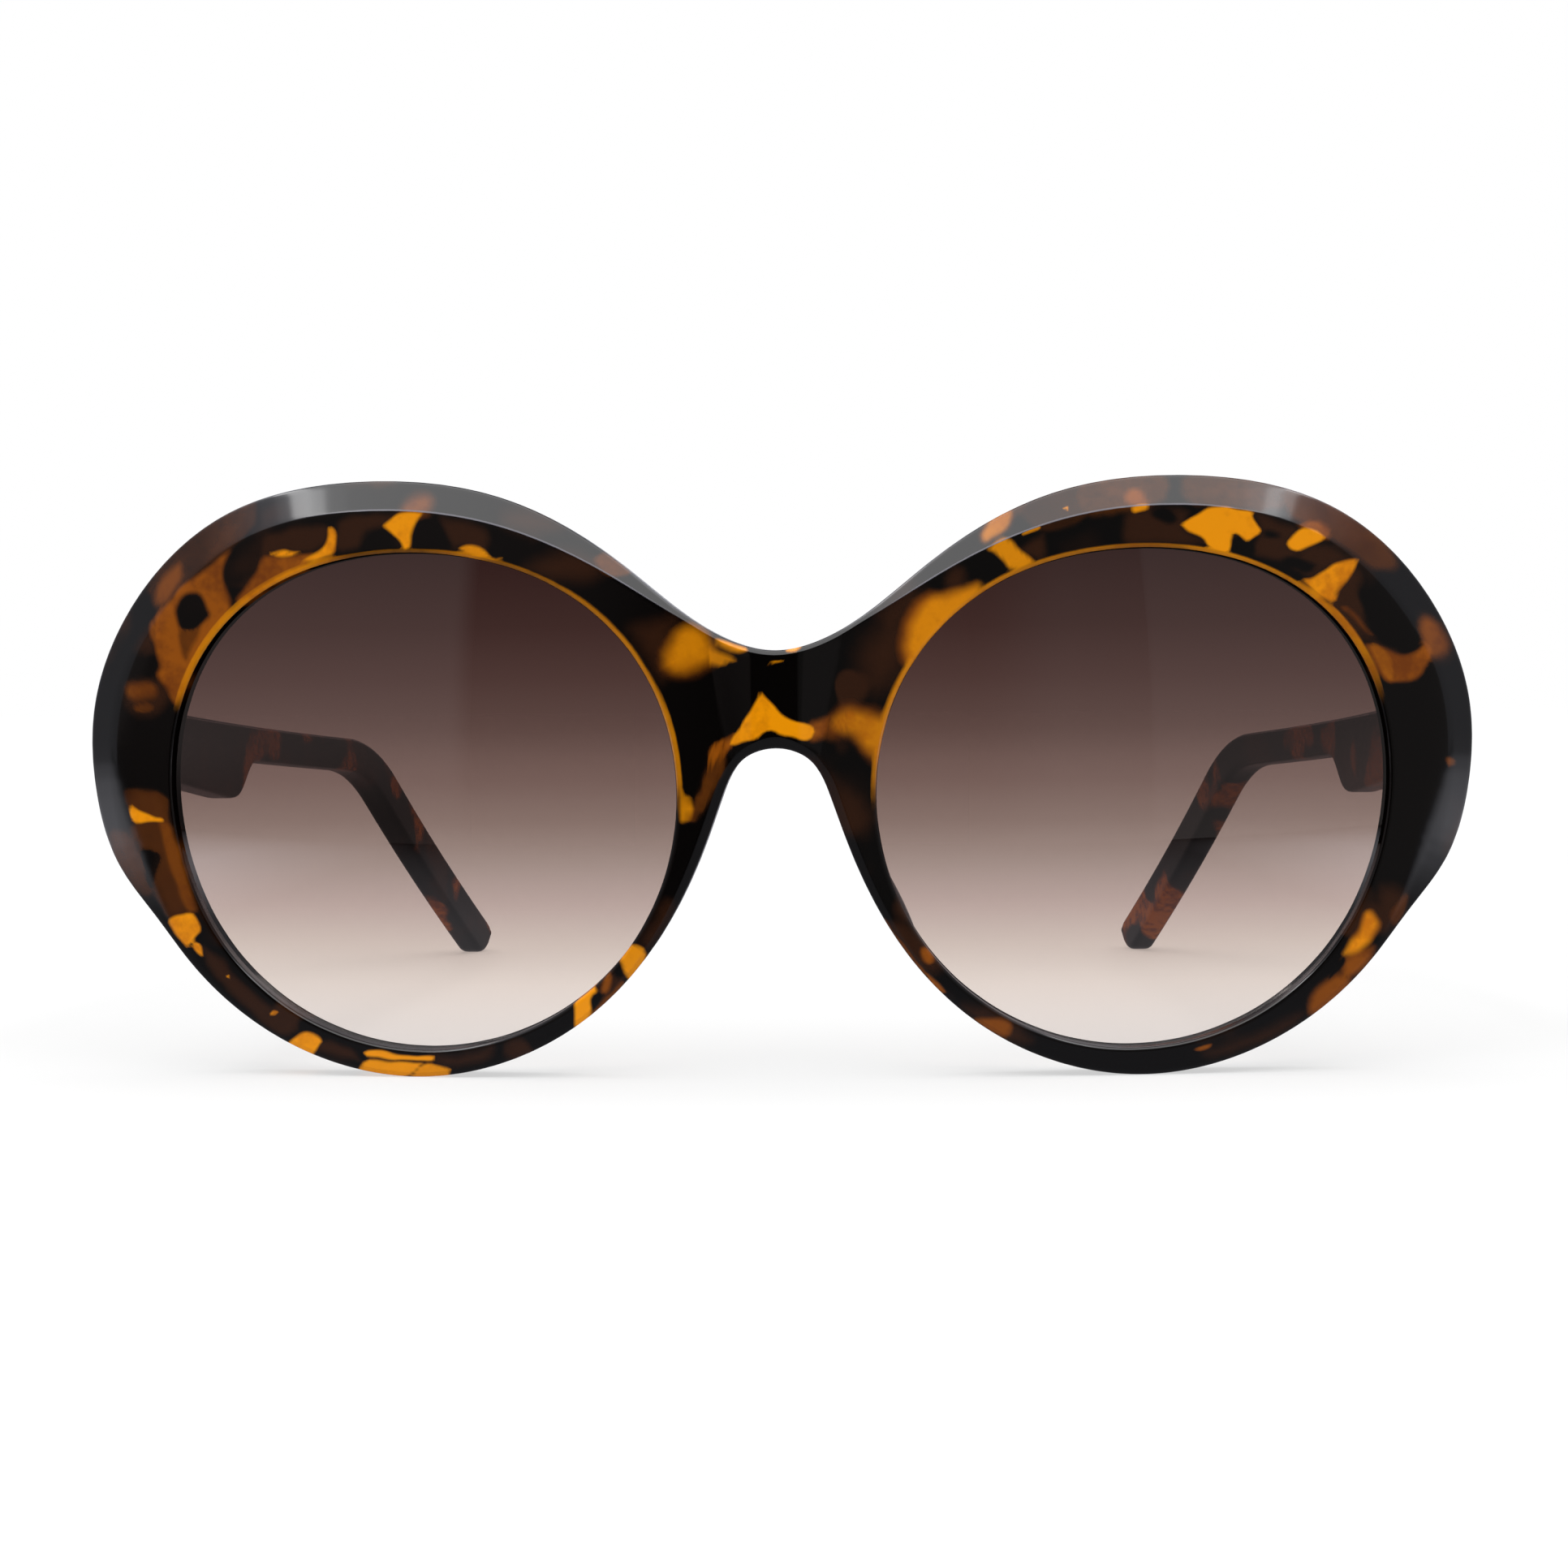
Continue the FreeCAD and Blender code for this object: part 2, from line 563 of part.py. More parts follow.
ear_half = size("ear_height") / 2
block_y = hinge_y + size("block_length")
temple_start_y = hinge_y + size("temple_gap")
temple_side = rounded_wire([
    (temple_start_y, hinge_z - size("temple_end_below"), 0.0),
    (*stem_spot(block_y, size("block_height")), size("block_corner_radius")),
    (*stem_spot(block_y + size("step_length"), size("stem_height")), size("step_radius")),
    (*bend_spot(size("stem_height"), -ear_half), size("bend_radius") - size("stem_height")),
    (*ear_spot(0.0, -ear_half), tip_round),
    (*ear_spot(0.0, ear_half), tip_round),
    (*bend_spot(0.0, ear_half), size("bend_radius")),
    (*shoulder, size("shoulder_radius")),
    (temple_start_y, hinge_z + size("temple_end_above"), 0.0),
])


def core_side(spare):
    half = size("core_height") / 2 + spare
    middle = size("stem_height") / 2
    start_y = hinge_y + size("core_start") - spare
    short = size("core_tip_margin") - spare
    bend_middle = size("bend_radius") - middle
    return rounded_wire([
        (*stem_spot(start_y, middle + half), 0.0),
        (*bend_spot(middle + half, -half), bend_middle - half),
        (*ear_spot(short, -half), 0.0),
        (*ear_spot(short, half), 0.0),
        (*bend_spot(middle - half, half), bend_middle + half),
        (*stem_spot(start_y, middle - half), 0.0),
    ])


def side_prism(name, outline):
    return extruded(name, shape_item(name + "_outline", outline), Vector(1, 0, 0), edge_x)


def temple_curve(name, face_x, face_radius, radius):
    return upright_cylinder(name, radius, "2 * Sizes.overall_depth", face_x - size(face_radius), hinge_y,
                            -size("overall_depth"))


inner_wall = temple_curve("inner_wall", temple_inner_x, "temple_inner_radius",
                          "Sizes.temple_inner_radius")
outer_wall = temple_curve("outer_wall", temple_outer_x, "temple_outer_radius",
                          "Sizes.temple_outer_radius")


def core_wire(name, spare_alias):
    spare = size(spare_alias) if spare_alias else 0.0
    spare_size = f"Sizes.{spare_alias}" if spare_alias else "0"
    centre = "Sizes.temple_inner_radius + Sizes.core_depth"
    near = temple_curve(name + "_near", temple_inner_x, "temple_inner_radius",
                        f"{centre} - Sizes.core_thickness / 2 - {spare_size}")
    far = temple_curve(name + "_far", temple_inner_x, "temple_inner_radius",
                       f"{centre} + Sizes.core_thickness / 2 + {spare_size}")
    return cut(name, common(name + "_band", side_prism(name + "_side", core_side(spare)), far), near)


left_core_wire = core_wire("left_core_wire", "")
core_channel = core_wire("core_channel", "core_clearance")
temple_blank = common("temple_blank", side_prism("temple_prism", temple_side), outer_wall)
left_temple = cut("left_temple", temple_blank, inner_wall, core_channel, temple_leaf)

# The pieces: the front, then both sides' pairs.
left_pieces = [left_lens, left_nose_pad, front_leaf, temple_leaf, screw, left_temple, left_core_wire]
pieces = [front_frame]
for piece in left_pieces:
    pieces += [piece, mirrored(piece.Name.replace("left_", "right_"), piece)]
doc.recompute()

for item in doc.Objects:
    if "Invalid" in item.State or "Error" in item.State:
        raise RuntimeError(f"{item.Label} failed: {item.State}")
for piece in pieces:
    shape = piece.Shape
    if shape.isNull() or not shape.isValid() or len(shape.Solids) != 1:
        raise RuntimeError(f"{piece.Label} is not one sound solid")

os.makedirs("parts", exist_ok=True)
for piece in pieces:
    piece.Label = piece.Name
    piece.Shape.exportStep(f"parts/{piece.Label}.step")
    box = piece.Shape.BoundBox
    print(f"{piece.Label}: {piece.Shape.Volume:.1f} mm3, x {box.XMin:.2f} {box.XMax:.2f},"
          f" y {box.YMin:.2f} {box.YMax:.2f}, z {box.ZMin:.2f} {box.ZMax:.2f}")
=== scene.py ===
import math

import bpy
from mathutils import Matrix, Vector, noise
from mathutils.bvhtree import BVHTree


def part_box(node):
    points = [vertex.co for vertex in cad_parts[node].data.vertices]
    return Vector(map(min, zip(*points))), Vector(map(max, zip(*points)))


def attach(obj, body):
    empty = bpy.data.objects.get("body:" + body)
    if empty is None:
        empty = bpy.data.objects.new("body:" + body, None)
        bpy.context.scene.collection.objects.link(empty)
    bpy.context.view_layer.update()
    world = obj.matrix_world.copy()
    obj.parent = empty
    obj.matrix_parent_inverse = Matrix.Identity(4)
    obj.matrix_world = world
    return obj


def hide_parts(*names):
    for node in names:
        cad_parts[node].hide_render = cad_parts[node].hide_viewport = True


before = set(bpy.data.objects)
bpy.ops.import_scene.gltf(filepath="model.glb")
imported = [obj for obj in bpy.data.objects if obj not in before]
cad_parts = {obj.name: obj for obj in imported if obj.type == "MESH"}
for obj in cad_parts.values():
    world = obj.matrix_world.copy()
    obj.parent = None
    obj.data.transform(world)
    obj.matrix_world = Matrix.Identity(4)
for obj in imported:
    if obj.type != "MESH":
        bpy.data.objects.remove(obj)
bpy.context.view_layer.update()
mm = 0.001
print("frame loaded")


# small helpers for nodes
def newMaterial(name):
    material = bpy.data.materials.new(name)
    material.use_nodes = True
    tree = material.node_tree
    tree.nodes.clear()
    return material, tree


def addNode(tree, kind, inputs=None, **settings):
    node = tree.nodes.new(kind)
    for key, value in settings.items():
        setattr(node, key, value)
    for key, value in (inputs or {}).items():
        if isinstance(value, bpy.types.NodeSocket):
            tree.links.new(value, node.inputs[key])
        else:
            node.inputs[key].default_value = value
    return node


def mathNode(tree, operation, first, second=0.0, third=0.0):
    node = addNode(tree, "ShaderNodeMath", {0: first, 1: second, 2: third}, operation=operation)
    return node.outputs[0]


def objectPlace(tree):
    return addNode(tree, "ShaderNodeTexCoord").outputs["Object"]


def axisParts(tree, place):
    return addNode(tree, "ShaderNodeSeparateXYZ", {0: place}).outputs


def noiseNode(tree, place, scale, detail=2.0):
    return addNode(tree, "ShaderNodeTexNoise", {"Vector": place, "Scale": scale, "Detail": detail}).outputs


def rangedLevel(tree, value, start, end, first=0.0, last=1.0, smooth=False):
    node = addNode(tree, "ShaderNodeMapRange",
                   {"Value": value, "From Min": start, "From Max": end, "To Min": first, "To Max": last},
                   interpolation_type="SMOOTHSTEP" if smooth else "LINEAR")
    return node.outputs["Result"]


def smoothMask(tree, value, middle, softness):
    return rangedLevel(tree, value, middle - softness, middle + softness, smooth=True)


def mixColour(tree, factor, first, second):
    return addNode(tree, "ShaderNodeMix", {0: factor, 6: first, 7: second}, data_type="RGBA").outputs[2]


def finishMaterial(tree, shader):
    addNode(tree, "ShaderNodeOutputMaterial", {"Surface": shader})


# tortoiseshell: dark plastic with brown clouds, dull honey patches and bright amber ones
tortoise = {
    "dark": (0.0014, 0.0010, 0.0009, 1),
    "brown": (0.027, 0.0088, 0.0032, 1),
    "honey": (0.27, 0.070, 0.003, 1),
    # amber is also the colour of the lips' painted highlight
    "amber": (0.84, 0.295, 0.002, 1),
    "rust": (0.12, 0.026, 0.004, 1),
    "deepHoney": (0.15, 0.036, 0.003, 1),
    "deepAmber": (0.55, 0.16, 0.002, 1),
    # colour of the painted highlight along the top crease
    "creaseHighlight": (0.13, 0.125, 0.15, 1),
    "warpScale": 210.0, "warpReach": 2.4 * mm,
    "patchScale": 105.0, "patchDetail": 1.0, "patchSoft": 0.03,
    "cloudScale": 85.0, "cloudSeed": 3.0, "cloudSoft": 0.10,
    "grainScale": 900.0, "grainDetail": 3.0, "grainReach": 0.35, "speckle": 0.6,
    # where each colour turns into its deep tone, and how softly
    "honeyTurn": 0.86, "amberTurn": 0.92, "paintSoft": 0.2, "patchTurn": 0.34, "turnSoft": 0.1,
    "roughness": 0.12, "shine": 0.5, "indexOfRefraction": 1.49,
    "inkZero": 4.0, "inkSoft": 1.0,
}


def inkMask(tree, name, grain):
    # painted patches are stored as edge distances, all lifted by inkZero
    painted = addNode(tree, "ShaderNodeAttribute", attribute_name=name).outputs["Fac"]
    lifted = mathNode(tree, "MULTIPLY_ADD", grain, tortoise["grainReach"], painted)
    return smoothMask(tree, lifted, tortoise["inkZero"] + tortoise["grainReach"] / 2, tortoise["inkSoft"])


def paintedOver(tree, colour, shade, grain):
    # the patches painted on the front, the painted highlight along its top crease, and the lower shine of its
    # shaded opening walls
    honeyDeep = smoothMask(tree, shade, tortoise["honeyTurn"], tortoise["paintSoft"])
    amberDeep = smoothMask(tree, shade, tortoise["amberTurn"], tortoise["paintSoft"])
    paints = {
        "brown": tortoise["brown"],
        "honey": mixColour(tree, honeyDeep, tortoise["honey"], tortoise["deepHoney"]),
        "amber": mixColour(tree, amberDeep, tortoise["amber"], tortoise["deepAmber"]),
        # painted highlight along the top crease
        "creaseHighlight": tortoise["creaseHighlight"],
    }
    for name, paint in paints.items():
        colour = mixColour(tree, inkMask(tree, name, grain), colour, paint)
    recess = inkMask(tree, "recess", grain)
    return colour, mathNode(tree, "MULTIPLY_ADD", recess, -tortoise["shine"], tortoise["shine"])


def tortoiseMaterial(name, patchColour, deepColour, patchLevel, cloudLevel, painted=False):
    material, tree = newMaterial(name)
    place = objectPlace(tree)
    warp = noiseNode(tree, place, tortoise["warpScale"])["Color"]
    centred = addNode(tree, "ShaderNodeVectorMath", {0: warp, 1: (0.5, 0.5, 0.5)},
                      operation="SUBTRACT").outputs[0]
    bent = addNode(tree, "ShaderNodeVectorMath",
                   {0: centred, 1: (tortoise["warpReach"],) * 3, 2: place},
                   operation="MULTIPLY_ADD").outputs[0]
    patchNoise = noiseNode(tree, bent, tortoise["patchScale"], tortoise["patchDetail"])["Fac"]
    cloudNoise = addNode(tree, "ShaderNodeTexNoise",
                         {"Vector": bent, "Scale": tortoise["cloudScale"], "W": tortoise["cloudSeed"]},
                         noise_dimensions="4D").outputs["Fac"]
    grain = noiseNode(tree, place, tortoise["grainScale"], tortoise["grainDetail"])["Fac"]
    shade = mathNode(tree, "MULTIPLY_ADD", grain, tortoise["speckle"], patchNoise)
    cloudMask = smoothMask(tree, cloudNoise, cloudLevel, tortoise["cloudSoft"])
    patchMask = smoothMask(tree, patchNoise, patchLevel, tortoise["patchSoft"])
    brightMask = smoothMask(tree, shade, patchLevel + tortoise["patchTurn"], tortoise["turnSoft"])
    colour = mixColour(tree, cloudMask, tortoise["dark"], tortoise["brown"])
    colour = mixColour(tree, patchMask, colour, mixColour(tree, brightMask, deepColour, patchColour))
    shine = tortoise["shine"]
    if painted:
        colour, shine = paintedOver(tree, colour, shade, grain)
    shader = addNode(tree, "ShaderNodeBsdfPrincipled",
                     {"Base Color": colour, "Roughness": tortoise["roughness"],
                      "IOR": tortoise["indexOfRefraction"], "Specular IOR Level": shine})
    finishMaterial(tree, shader.outputs[0])
    return material


frontMaterial = tortoiseMaterial("frontTortoise", tortoise["brown"], tortoise["brown"],
                                 patchLevel=0.68, cloudLevel=0.66, painted=True)
templeMaterial = tortoiseMaterial("templeTortoise", tortoise["honey"], tortoise["rust"],
                                  patchLevel=0.60, cloudLevel=0.60)
padMaterial = tortoiseMaterial("padTortoise", tortoise["honey"], tortoise["deepHoney"],
                               patchLevel=0.60, cloudLevel=0.52)

# lens: clear plastic with a brown tint that thins out downward
lens = {
    "indexOfRefraction": 1.5, "gloss": 0.0, "coating": 2.4,
    # height share and optical density of red, green and blue
    "tint": (
        (0.0, 0.12, 0.19, 0.23), (0.14, 0.22, 0.36, 0.45), (0.22, 0.43, 0.62, 0.73),
        (0.30, 0.69, 0.96, 1.06), (0.38, 1.00, 1.29, 1.41), (0.46, 1.36, 1.73, 1.87),
        (0.54, 1.69, 2.15, 2.29), (0.64, 2.13, 2.67, 2.81), (0.74, 2.50, 3.15, 3.28),
        (0.84, 2.92, 3.67, 3.80), (1.0, 3.5, 4.4, 4.5),
    ),
}


def lensMaterial():
    low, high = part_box("left_lens")
    material, tree = newMaterial("lensTint")
    height = axisParts(tree, objectPlace(tree))["Z"]
    ramp = addNode(tree, "ShaderNodeValToRGB", {"Fac": rangedLevel(tree, height, low.z, high.z)})
    stops = ramp.color_ramp.elements
    for row in lens["tint"][1:-1]:
        stops.new(row[0])
    for stop, row in zip(stops, lens["tint"]):
        stop.color = (*(math.exp(-density) for density in row[1:]), 1)
    inside = addNode(tree, "ShaderNodeNewGeometry").outputs["Backfacing"]
    tint = mixColour(tree, inside, ramp.outputs["Color"], (1, 1, 1, 1))
    clear = addNode(tree, "ShaderNodeBsdfTransparent", {"Color": tint}).outputs[0]
    gloss = addNode(tree, "ShaderNodeBsdfAnisotropic",
                    {"Color": (1, 1, 1, 1), "Roughness": lens["gloss"]}).outputs[0]
    mirror = addNode(tree, "ShaderNodeFresnel", {"IOR": lens["indexOfRefraction"]}).outputs[0]
    # only the outside faces mirror
    outside = mathNode(tree, "MULTIPLY_ADD", inside, -lens["coating"], lens["coating"])
    shader = addNode(tree, "ShaderNodeMixShader",
                     {0: mathNode(tree, "MULTIPLY", mirror, outside), 1: clear, 2: gloss})
    finishMaterial(tree, shader.outputs[0])
    return material


# hinge leaves, screws and core wires: colour and roughness of each metal
metal = {
    "hinge": ((0.62, 0.60, 0.55, 1), 0.28),
    "screw": ((0.66, 0.65, 0.62, 1), 0.22),
    "core": ((0.55, 0.55, 0.55, 1), 0.35),
    "grainScale": 2500.0, "dullShare": 0.85, "leastRough": 0.7, "mostRough": 1.3,
}


def metalMaterial(kind):
    colour, roughness = metal[kind]
    material, tree = newMaterial(kind + "Metal")
    grain = noiseNode(tree, objectPlace(tree), metal["grainScale"])["Fac"]
    roughSpan = [roughness * metal[share] for share in ("leastRough", "mostRough")]
    rough = rangedLevel(tree, grain, 0.0, 1.0, *roughSpan)
    dull = tuple(metal["dullShare"] * part for part in colour[:3]) + (1,)
    shade = mixColour(tree, grain, dull, colour)
    shader = addNode(tree, "ShaderNodeBsdfPrincipled",
                     {"Base Color": shade, "Metallic": 1.0, "Roughness": rough})
    finishMaterial(tree, shader.outputs[0])
    return material


def dressNode(name, material):
    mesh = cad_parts[name].data
    mesh.materials.clear()
    mesh.materials.append(material)


hingeMetal = metalMaterial("hinge")
finishes = {
    "lens": lensMaterial(), "nose_pad": padMaterial,
    "hinge_front_leaf": hingeMetal, "hinge_temple_leaf": hingeMetal,
    "hinge_screw": metalMaterial("screw"), "core_wire": metalMaterial("core"),
}
for side in ("left", "right"):
    for pieceName, finish in finishes.items():
        dressNode(side + "_" + pieceName, finish)
print("materials made")


# measuring on the solids
raySkip = 0.003 * mm  # step past a surface that was found
arcShare = 0.45  # most of a side that a rounded corner takes


def solidTree(name):
    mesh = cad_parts[name].data
    return BVHTree.FromPolygons([v.co for v in mesh.vertices], [p.vertices for p in mesh.polygons])


def surfacesAlong(tree, start, direction, reach):
    direction = direction.normalized()
    found = []
    travelled = 0.0
    while travelled < reach:
        place, _, _, gap = tree.ray_cast(start + direction * travelled, direction, reach - travelled)
        if place is None:
            break
        travelled += gap
        found.append(travelled)
        travelled += raySkip
    return found


def roundedCorner(before, corner, after, radius, steps):
    # arc in a corner between two straight stretches, in flat coordinates
    toBefore = before - corner
    toAfter = after - corner
    inside = toBefore.angle(toAfter)
    reach = min(radius / math.tan(inside / 2), arcShare * toBefore.length, arcShare * toAfter.length)
    start = corner + toBefore.normalized() * reach
    end = corner + toAfter.normalized() * reach
    spots = []
    for step in range(steps + 1):
        share = step / steps
        spots.append(start * (1 - share) ** 2 + corner * 2 * share * (1 - share) + end * share ** 2)
    return spots


def between(start, end, count):
    return [start.lerp(end, (step + 1) / (count + 1)) for step in range(count)]


# front: rings round both eyes joined by the bridge, with softened edges
front = {
    "spacing": 0.42 * mm, "columnStep": 0.2 * mm, "topReach": 7.0 * mm, "archReach": 4.0 * mm,
    "farX": 2.0 * mm, "seamX": 7.6 * mm, "sectorLines": 15, "bridgeReach": 9.0 * mm, "bridgeInset": 2.0 * mm,
    "bridgeLines": ((7.0 * mm, 4.9 * mm, 9), (2.6 * mm, 2.6 * mm, 8), (0.0, 0.0, 6)), "creaseStep": 0.12 * mm,
    "wallDepth": 4.2 * mm, "lipDepth": 0.7 * mm, "probeDepth": 0.1 * mm, "probeOut": 1.0 * mm,
    "facetSlope": 0.685, "leastBevel": 0.5 * mm, "thickness": 5.8 * mm, "sectionReach": 4.0 * mm,
    "sharpCrease": 0.4 * mm, "softCrease": 5.0 * mm, "lowTurn": -40.0, "softTurn": 20.0, "sharpTurn": 55.0,
    "shoulderRound": 0.7 * mm, "backRound": 1.2 * mm, "lipRound": 0.4 * mm, "backLipRound": 1.2 * mm,
    "backTaper": 0.4, "grooveDepth": 0.76 * mm, "grooveSpare": 0.06 * mm, "grooveInset": 0.2 * mm,
    "faceRows": 13, "facetRows": 7, "wallRows": 3, "backRows": 3, "arcSteps": 5,
    # where the measuring rays start and how far they go, and how many neighbours even out what they find
    "facing": 0.95, "ahead": 0.2, "aboveTop": 0.1, "underArch": 10 * mm, "eyeReach": 60 * mm,
    "meanRadius": 36 * mm, "bevelReach": 12 * mm, "outlineSoft": 2, "bevelSoft": 3, "openingSoft": 2,
    "backSpare": 0.01 * mm, "leastStep": 0.1 * mm, "middleSpare": 0.001 * mm,
}
frontTree = solidTree("front_frame")
lensTree = solidTree("left_lens")
lensLow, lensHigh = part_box("left_lens")
eyeX = (lensLow.x + lensHigh.x) / 2
eyeZ = (lensLow.z + lensHigh.z) / 2


def frontFace():
    # the flat face of one eye as y = start + slope * x, read from its largest facet
    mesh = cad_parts["front_frame"].data
    facing = [face for face in mesh.polygons
              if face.center.x > front["seamX"] and face.normal.y < -front["facing"]]
    largest = max(facing, key=lambda face: face.area)
    slope = -largest.normal.x / largest.normal.y
    return largest.center.y - slope * largest.center.x, slope


faceStart, faceSlope = frontFace()


def faceY(x):
    return faceStart + faceSlope * x


def faceDepthAt(spot):
    # how far the front's face lies behind the plane of the eye, seen from the front
    start = Vector((spot.x, -front["ahead"], spot.y))
    return start.y + surfacesAlong(frontTree, start, Vector((0, 1, 0)), front["ahead"])[0] - faceY(spot.x)


def bridgeEdge(x, fromAbove):
    # height of the bridge's top or of the nose arch
    startZ = front["aboveTop"] if fromAbove else front["underArch"]
    step = -1 if fromAbove else 1
    start = Vector((x, faceY(x) + front["wallDepth"], startZ))
    return startZ + step * surfacesAlong(frontTree, start, Vector((0, 0, step)), front["aboveTop"])[0]


def eyeRadii(turn, depth):
    # radius of the opening and of the outer wall in one direction from the eye's middle
    direction = Vector((math.cos(turn), faceSlope * math.cos(turn), math.sin(turn)))
    start = Vector((eyeX, faceY(eyeX) + depth, eyeZ))
    reach = front["eyeReach"]
    if direction.x < 0:
        reach = min(reach, (front["farX"] - eyeX) / direction.x * direction.length)
    gaps = surfacesAlong(frontTree, start, direction, reach)
    return gaps[0] / direction.length, gaps[-1] / direction.length


def eyeTurn(spot):
    return math.atan2(spot.y - eyeZ, spot.x - eyeX)


def eyeSpot(turn, radius):
    return Vector((eyeX + radius * math.cos(turn), eyeZ + radius * math.sin(turn)))


def spread(start, end, step):
    count = max(1, round(abs(end - start) / step))
    return [start + (end - start) * index / count for index in range(count + 1)]


def measuredOutline():
    # left half of the outline, bridge top to nose arch, as flat points
    top = [Vector((x, bridgeEdge(x, True))) for x in spread(0.0, front["topReach"], front["columnStep"])]
    arch = [Vector((x, bridgeEdge(x, False))) for x in spread(front["archReach"], 0.0, front["columnStep"])]
    firstTurn = eyeTurn(top[-1])
    lastTurn = eyeTurn(arch[0]) - 2 * math.pi
    turns = spread(firstTurn, lastTurn, front["spacing"] / front["meanRadius"])[1:-1]
    return top + [eyeSpot(turn, eyeRadii(turn, front["wallDepth"])[1]) for turn in turns] + arch


def resampled(points, spacing):
    lengths = [0.0]
    for first, second in zip(points, points[1:]):
        lengths.append(lengths[-1] + (second - first).length)
    result = []
    index = 0
    for goal in spread(0.0, lengths[-1], spacing):
        while index < len(points) - 2 and lengths[index + 1] < goal:
            index += 1
        share = (goal - lengths[index]) / (lengths[index + 1] - lengths[index])
        result.append(points[index].lerp(points[index + 1], share))
    return result


def smoothed(values, reach, outside):
    # weighted mean over neighbours; outside() gives the value mirrored past either end
    weights = [math.exp(-(step / reach) ** 2) for step in range(-2 * reach, 2 * reach + 1)]
    last = len(values) - 1
    result = []
    for index in range(len(values)):
        total = values[index] * 0
        for step, weight in zip(range(-2 * reach, 2 * reach + 1), weights):
            spot = index + step
            if spot < 0:
                total = total + outside(values[-spot]) * weight
            elif spot > last:
                total = total + outside(values[2 * last - spot]) * weight
            else:
                total = total + values[spot] * weight
        result.append(total * (1 / sum(weights)))
    return result


class EdgeSpot:
    def __init__(self, place, inward, bevel):
        self.place = place
        self.inward = inward
        self.bevel = bevel

    def blend(self, other, share):
        inward = self.inward.lerp(other.inward, share).normalized()
        bevel = self.bevel + (other.bevel - self.bevel) * share
        return EdgeSpot(self.place.lerp(other.place, share), inward, bevel)


def bevelAt(place, inward):
    # width of the bevel, found just behind the face
    direction = Vector((inward.x, faceSlope * inward.x, inward.y))
    outside = place - inward * front["probeOut"]
    depth = front["probeDepth"]
    if place.x < front["bridgeReach"]:
        depth += faceDepthAt(place + inward * front["bridgeInset"])
    start = Vector((outside.x, faceY(outside.x) + depth, outside.y))
    found = surfacesAlong(frontTree, start, direction, front["bevelReach"])[0]
    gap = found / direction.length - front["probeOut"]
    return max(front["leastBevel"], gap + front["probeDepth"] / front["facetSlope"])


def edgeSpots():
    def mirror(point):
        return Vector((-point.x, point.y))

    outline = resampled(measuredOutline(), front["spacing"] / 2)
    places = resampled(smoothed(outline, front["outlineSoft"], mirror), front["spacing"])
    inwards = []
    for index, place in enumerate(places):
        before = places[index - 1] if index > 0 else mirror(places[1])
        after = places[index + 1] if index < len(places) - 1 else mirror(places[-2])
        along = (after - before).normalized()
        inwards.append(Vector((along.y, -along.x)))
    bevels = [bevelAt(place, inward) for place, inward in zip(places, inwards)]
    bevels = smoothed(bevels, front["bevelSoft"], lambda value: value)
    return [EdgeSpot(*parts) for parts in zip(places, inwards, bevels)]


def creaseRound(spot):
    # the crease is crisp over the top and fades toward the outer side
    turn = math.degrees(eyeTurn(spot.place))
    if turn < front["lowTurn"] or turn > front["sharpTurn"]:
        return front["sharpCrease"]
    share = min(1.0, (front["sharpTurn"] - turn) / (front["sharpTurn"] - front["softTurn"]))
    return front["sharpCrease"] + share * (front["softCrease"] - front["sharpCrease"])


def outerSection(spot, faceDepth=0.0):
    # crease, bevel, wall and back edge, face to back
    steps = front["arcSteps"]
    away = spot.bevel + front["sectionReach"]
    face = Vector((away, faceDepth))
    crease = Vector((spot.bevel, faceDepth))
    shoulder = Vector((0.0, faceDepth + spot.bevel * front["facetSlope"]))
    back = Vector((0.0, front["thickness"]))
    backEnd = Vector((away, front["thickness"]))
    line = roundedCorner(face, crease, shoulder, creaseRound(spot), steps)
    atShoulder = roundedCorner(crease, shoulder, back, front["shoulderRound"], steps)
    atBack = roundedCorner(shoulder, back, backEnd, front["backRound"], steps)
    line += between(line[-1], atShoulder[0], front["facetRows"]) + atShoulder
    line += between(line[-1], atBack[0], front["wallRows"]) + atBack
    points = []
    for inset, depth in line:
        flat = spot.place + spot.inward * inset
        points.append(Vector((flat.x, faceY(flat.x) + depth, flat.y)))
    return points


def grooveDepths(turn, opening):
    flat = eyeSpot(turn, opening - front["grooveInset"])
    start = Vector((flat.x, -front["ahead"], flat.y))
    near, far = surfacesAlong(lensTree, start, Vector((0, 1, 0)), front["ahead"])[:2]
    away = start.y - faceY(flat.x)
    return near + away - front["grooveSpare"], far + away + front["grooveSpare"]


def innerSection(turn, opening, faceEnd, backEnd):
    # back face, opening wall with the lens groove and front face, back to face
    steps = front["arcSteps"]
    near, far = grooveDepths(turn, opening)
    groove = opening + front["grooveDepth"]
    away = opening + front["sectionReach"]
    backRadius = opening + (front["thickness"] - far) * front["backTaper"]
    backLip = roundedCorner(Vector((away, front["thickness"])), Vector((backRadius, front["thickness"])),
                            Vector((opening, far)), front["backLipRound"], steps)
    frontLip = roundedCorner(Vector((opening, near)), Vector((opening, 0.0)), Vector((away, 0.0)),
                             front["lipRound"], steps)
    wall = backLip + [Vector((opening, far)), Vector((groove, far)), Vector((groove, near)),
                      Vector((opening, near))] + frontLip
    points = []
    for radius, depth in wall:
        flat = eyeSpot(turn, radius)
        points.append(Vector((flat.x, faceY(flat.x) + depth, flat.y)))
    return ([backEnd] + between(backEnd, points[0], front["backRows"]) + points
            + between(points[-1], faceEnd, front["faceRows"]) + [faceEnd])


